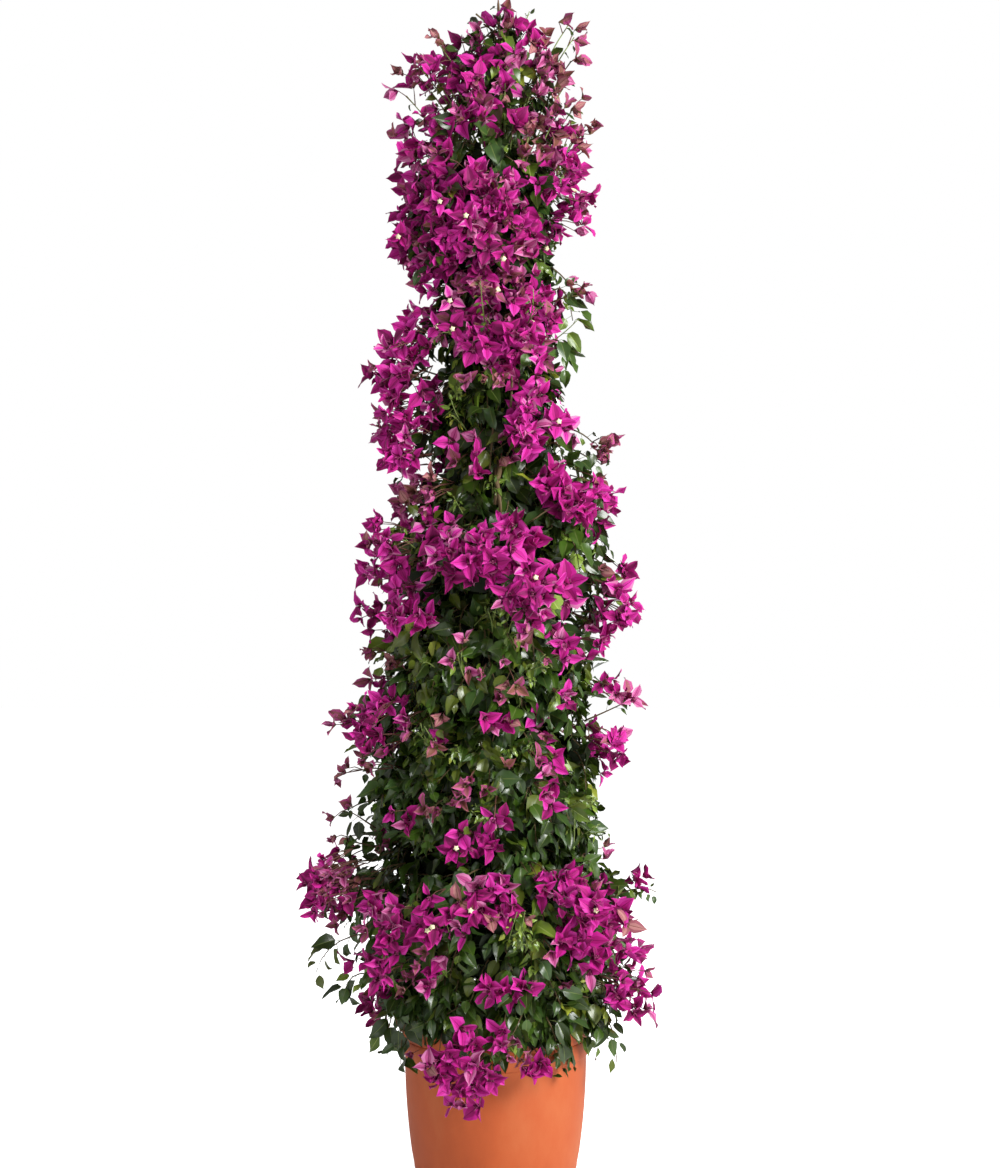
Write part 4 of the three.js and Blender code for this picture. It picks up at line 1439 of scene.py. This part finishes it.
# Two short stretches at the front where the old stems show between the leaves: lowest and
# highest, then the middle and half width.
bareStretches = [(1.035, 1.105, 6 * mm, 18 * mm), (1.16, 1.25, 12 * mm, 22 * mm)]


def nearBareStem(place):
    return place.y <= 0 and any(
        low < place.z < high and abs(place.x - middle) < half for low, high, middle, half in bareStretches)


def nearestDistances(places, others):
    # For each place, how far off the nearest of the others is.
    tree = KDTree(len(others))
    for index, other in enumerate(others):
        tree.insert(other, index)
    tree.balance()
    return [tree.find(place)[2] for place in places]


# Masses so thick with bloom that nothing else shows. The rest, at the front, are the knots above.
denseBloom = ("bloom_heart", "bloom_breast")
# How full some parts are, against 1 for the rest.
fullness = {
    "bloom_outer_right": 0.5, "bloom_outer_left": 0.8, "bloom_hip_right": 0.7, "bloom_knee_right": 0.8,
    "bloom_low_left": 0.8, "bloom_low_front": 0.72, "bloom_low_right": 0.8, "bloom_breast": 0.64,
    "bloom_waist_left": 0.85, "bloom_chest": 0.8, "leaf_skirt_left": 0.5, "leaf_skirt_right": 0.42,
    "leaf_skirt_front": 0.6,
}


fringeHabit = {
    "sprays": 64,
    "begin": -84,  # degrees round from the front
    "step": 2.6,
    "jitter": 2,
    "radius": (130 * mm, 165 * mm),
    "openUntil": -32,
    "leaves": 7,
    "depths": (-16 * mm, 0.0),
    "long": {"heights": (262 * mm, 315 * mm), "reach": 0.75},
    "short": {"heights": (285 * mm, 330 * mm), "reach": 0.3},
}


def growRimFringe():
    # Leaves that hang over the front of the rim, less far on the left, where the pot's edge shows.
    draw = np.random.default_rng(23)
    habit = fringeHabit
    for step in range(habit["sprays"]):
        jitter = draw.uniform(-habit["jitter"], habit["jitter"])
        bearing = math.radians(habit["begin"] + step * habit["step"] + jitter)
        out = outwardAt(bearing)
        form = habit["long" if math.degrees(bearing) > habit["openUntil"] else "short"]
        place = out * draw.uniform(*habit["radius"]) + up * draw.uniform(*form["heights"])
        growSpray(
            draw, place, out, out, reach=form["reach"], count=habit["leaves"], depths=habit["depths"])


# How far in from the masses' outside the twigs end, so that their leaves come up to it.
insetShape = {
    "usual": 27 * mm,
    "right": 60 * mm,
    "left": -100 * mm,
    # Lowest and highest, and how much more or less.
    "onRight": [(0.93, 1.06, -15 * mm), (0.56, 0.9, 12 * mm), (1.2, 1.62, 12 * mm), (0, 9, 5 * mm)],
    "onLeft": [(1.32, 1.43, 22 * mm)],
}
skirtEdge = {"below": 260 * mm, "radius": 196 * mm}


def insetAt(place):
    rows = []
    if place.x > insetShape["right"]:
        rows = insetShape["onRight"]
    elif place.x < insetShape["left"]:
        rows = insetShape["onLeft"]
    for low, high, more in rows:
        if low < place.z < high:
            return insetShape["usual"] + more
    return insetShape["usual"]


def beyondSkirt(place):
    return place.z < skirtEdge["below"] and math.hypot(place.x, place.y) > skirtEdge["radius"]


growth = {
    "heights": (165 * mm, cadHigh.z),
    "front": -30 * mm,  # places nearer than this are at the front
    "looseFade": 50 * mm,
    "topSprays": {"share": 0.26, "depth": 35 * mm, "reach": 0.5, "leaves": 4},
    "youngShare": 0.06,
    "underBloom": {"share": 0.62, "leaves": 6, "depths": (18 * mm, 42 * mm)},
    "bloom": {
        "most": 0.96, "edgeLoss": 0.5, "edgeWidth": 16 * mm, "patchScale": 17, "patchFrom": -0.12,
        "patchGain": 1.25, "patchGap": 0.25, "atTop": 0.08, "atFront": 0.12, "starChance": 0.015,
        "proud": (-24 * mm, 8 * mm)},
    "strays": {
        "nearBloom": 0.34, "fade": 22 * mm, "highAbove": 1.38, "high": 0.05, "low": 0.012,
        "atFront": 0.25, "tones": (0.35, 0.3, 0.35), "starChance": 0.02, "proud": (0, 16 * mm),
        "none": {"right": 70 * mm, "heights": (1.2, 1.5)}},
}


def growFoliage(draw):
    loose, top, under = topHabit["lowest"], growth["topSprays"], growth["underBloom"]
    for place, normal, owner, bearing in combShell(leafyHabit["spacing"], 21, *growth["heights"]):
        out = outwardAt(bearing)
        if draw.random() > fullness.get(owner, 1) or beyondSkirt(place):
            continue
        place = place - out * insetAt(place)
        if place.z > loose + growth["looseFade"] * draw.random():
            if draw.random() < top["share"]:
                spot = place - out * top["depth"]
                growSpray(draw, spot, normal, out, reach=top["reach"], count=top["leaves"])
        elif nearBareStem(place):
            continue
        elif owner.startswith("leaf_"):
            growSpray(draw, place, normal, out, young=draw.random() < growth["youngShare"])
        elif draw.random() < under["share"]:
            growSpray(draw, place, normal, out, count=under["leaves"], depths=under["depths"])


def growBloom(draw, inBloom, inLeaf):
    habit = growth["bloom"]
    edges = nearestDistances([row[0] for row in inBloom], [row[0] for row in inLeaf])
    for (place, normal, owner, bearing), edge in zip(inBloom, edges):
        kept = habit["most"] - habit["edgeLoss"] * math.exp(-edge / habit["edgeWidth"])
        kept *= fullness.get(owner, 1)
        if owner not in denseBloom:
            inPatch = noise.noise(place * habit["patchScale"]) > habit["patchFrom"]
            kept *= habit["patchGain" if inPatch else "patchGap"]
        if place.z > topHabit["lowest"]:
            kept *= habit["atTop"]
        elif place.y < growth["front"] and owner not in denseBloom:
            kept *= habit["atFront"]
        if draw.random() > kept:
            continue
        out = outwardAt(bearing)
        place = place - out * insetAt(place)
        tone = drawTone(draw, toneOf.get(owner.replace("bloom_", ""), usualTone))
        growKnot(draw, place, normal, out, tone, 2, habit["starChance"], habit["proud"])


def growStrayBloom(draw, inBloom, inLeaf):
    # Small knots among the leaves, mostly beside the masses of bloom.
    habit = growth["strays"]
    edges = nearestDistances([row[0] for row in inLeaf], [row[0] for row in inBloom])
    for (place, normal, _, bearing), edge in zip(inLeaf, edges):
        chance = habit["nearBloom"] * math.exp(-edge / habit["fade"])
        chance += habit["high" if place.z > habit["highAbove"] else "low"]
        if place.y < growth["front"]:
            chance *= habit["atFront"]
        if place.z > topHabit["lowest"] or draw.random() > chance or nearBareStem(place):
            continue
        low, high = habit["none"]["heights"]
        if place.x > habit["none"]["right"] and low < place.z < high:
            continue
        out = outwardAt(bearing)
        tone = drawTone(draw, habit["tones"])
        count = int(draw.integers(1, 4))
        growKnot(draw, place, normal, out, tone, count, habit["starChance"], habit["proud"])


def growAll():
    draw = np.random.default_rng(11)
    growFoliage(draw)
    comb = combShell(bloomHabit["spacing"], 31, *growth["heights"])
    inBloom = [row for row in comb if row[2].startswith("bloom_")]
    inLeaf = [row for row in comb if row[2].startswith("leaf_")]
    growBloom(draw, inBloom, inLeaf)
    growStrayBloom(draw, inBloom, inLeaf)
    growRimFringe()
    growTop()
    atFront = np.random.default_rng(5)
    growFrontKnots(atFront)
    growFrontShoots(atFront)
    growSprigs()
    growInnerLeaves()


growAll()
print("grown:", len(leaves.rows), "leaves and", len(bracts.rows), "bracts")


# The heaps are made into pieces, each kind apart and each of under 200,000 triangles.
pieceRule = {"bladeTriangles": 40, "most": 190000}


def nodesBetween(names, low, high):
    def middle(name):
        lowest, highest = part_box(name)
        return (lowest.z + highest.z) / 2
    return [name for name in names if low <= middle(name) < high]


def makeBladePieces(name, rows, outline, tintSlots, finishes, replaced):
    # Split by height, so that each piece replaces the masses it stands among.
    ordered = sorted(rows, key=lambda row: row[2])
    count = math.ceil(len(rows) * pieceRule["bladeTriangles"] / pieceRule["most"])
    size = math.ceil(len(rows) / count)
    groups = [ordered[start:start + size] for start in range(0, len(rows), size)]
    edges = [-math.inf] + [group[0][2] for group in groups[1:]] + [math.inf]
    for index, group in enumerate(groups):
        piece = bladeMesh(name + "_" + "abcdefgh"[index], group, outline, tintSlots)
        finishPiece(piece, finishes, nodesBetween(replaced, edges[index], edges[index + 1]))


def makeLeafPieces():
    finishes = [
        plainFinish("leaf_" + name, colour, 0.33, 0.5, glaze=0.15) for name, colour in leafFinish.items()]
    finishes += [plainFinish(name, colour, 0.5) for name, colour in ribFinish.items()]
    tintSlots = {"midrib": [len(leafTints) + int(name in lightLeaves) for name in leafTints]}
    makeBladePieces("leaves", leaves.rows, leafOutline, tintSlots, finishes, leafNodes)
    # The inner leaves' single finish is painted shade.
    shade = plainFinish("leafShade", innerHabit["colour"], 0.6, 0.3)
    inner = bladeMesh("innerLeaves", innerLeaves.rows, innerOutline, {"midrib": [1]})
    finishPiece(inner, [shade, shade], [])


def makeBloomPieces():
    finishes = [
        plainFinish("bract_" + name, colour, 0.62, 0.25, velvet=0.15)
        for name, colour in bractFinish.items()]
    finishes += [
        plainFinish(name, colour, 0.7, 0.2) for name, colour in (veinFinish | throatShadeFinish).items()]
    veins = len(bractTints)
    dull = [int(name in dullTints) for name in bractTints]
    tintSlots = {
        "midrib": [veins + isDull for isDull in dull],
        # The foot faces take the darker throat colours, painted shade where the bracts meet.
        "foot": [veins + len(veinFinish) + isDull for isDull in dull],
        "margin": [bractTints.index(marginOf[name]) for name in bractTints]}
    makeBladePieces("bloom", bracts.rows, bractOutline, tintSlots, finishes, bloomNodes)


def makeTwigPieces():
    finishes = [plainFinish(name, *look) for name, look in twigLook["colours"].items()]
    parts = []
    for path, radii, tint in twigs:
        sides = twigLook["stalkSides" if tint == redTwig else "sides"]
        parts.append((*tubeArrays(path, radii, sides), tint))
    finishPiece(meshFromParts("twigs", parts), finishes, [])
    parts = [(*tubeArrays([start, end], [radius, radius * 0.7], 3), 0) for start, end, radius in stalks]
    stalkFinish = plainFinish("stalkGreen", *twigLook["leafStalk"])
    finishPiece(meshFromParts("leafStalks", parts), [stalkFinish], [])


flowerLook = {
    "budRadii": np.array([0.7, 1.15, 0.9]) * mm,
    "buds": {"budPink": ((150, 60, 104), 0.6), "budDull": ((120, 84, 66), 0.6)},
    "cream": ((250, 240, 196), 0.6),
    "points": 5,
    "star": (4.9 * mm, 2.9 * mm),  # how far out the points and the notches between them lie
    "cup": (0.2 * mm, 1.3 * mm),  # and how far forward
    "heart": 0.6 * mm,
}


def starArrays(root, mouth, facing, turn):
    # A five-pointed face on a tube that narrows to its root.
    facing = unit(facing)
    first, second = acrossOf(facing)
    corners = flowerLook["points"] * 2
    points = [tuple(mouth + facing * flowerLook["heart"])]
    for step in range(corners):
        angle = turn + step * 2 * math.pi / corners
        away = first * math.cos(angle) + second * math.sin(angle)
        corner = mouth + away * flowerLook["star"][step % 2] + facing * flowerLook["cup"][step % 2]
        points.append(tuple(corner))
    points.append(tuple(root))
    faces = [(0, 1 + step, 1 + (step + 1) % corners) for step in range(corners)]
    faces += [(corners + 1, 1 + (step + 1) % corners, 1 + step) for step in range(corners)]
    return np.array(points), faces


def makeFlowerPieces():
    finishes = [plainFinish(name, *look) for name, look in flowerLook["buds"].items()]
    parts = []
    for start, end, dull in budTubes:
        path = [start, start.lerp(end, 0.7), end]
        parts.append((*tubeArrays(path, flowerLook["budRadii"], 3), int(dull)))
    finishPiece(meshFromParts("flowerBuds", parts), finishes, [])
    cream = plainFinish("flowerCream", *flowerLook["cream"])
    parts = [(*starArrays(*star), 0) for star in starFlowers]
    finishPiece(meshFromParts("starFlowers", parts), [cream], [])


makeLeafPieces()
makeBloomPieces()
makeTwigPieces()
makeFlowerPieces()
print("foliage ready")
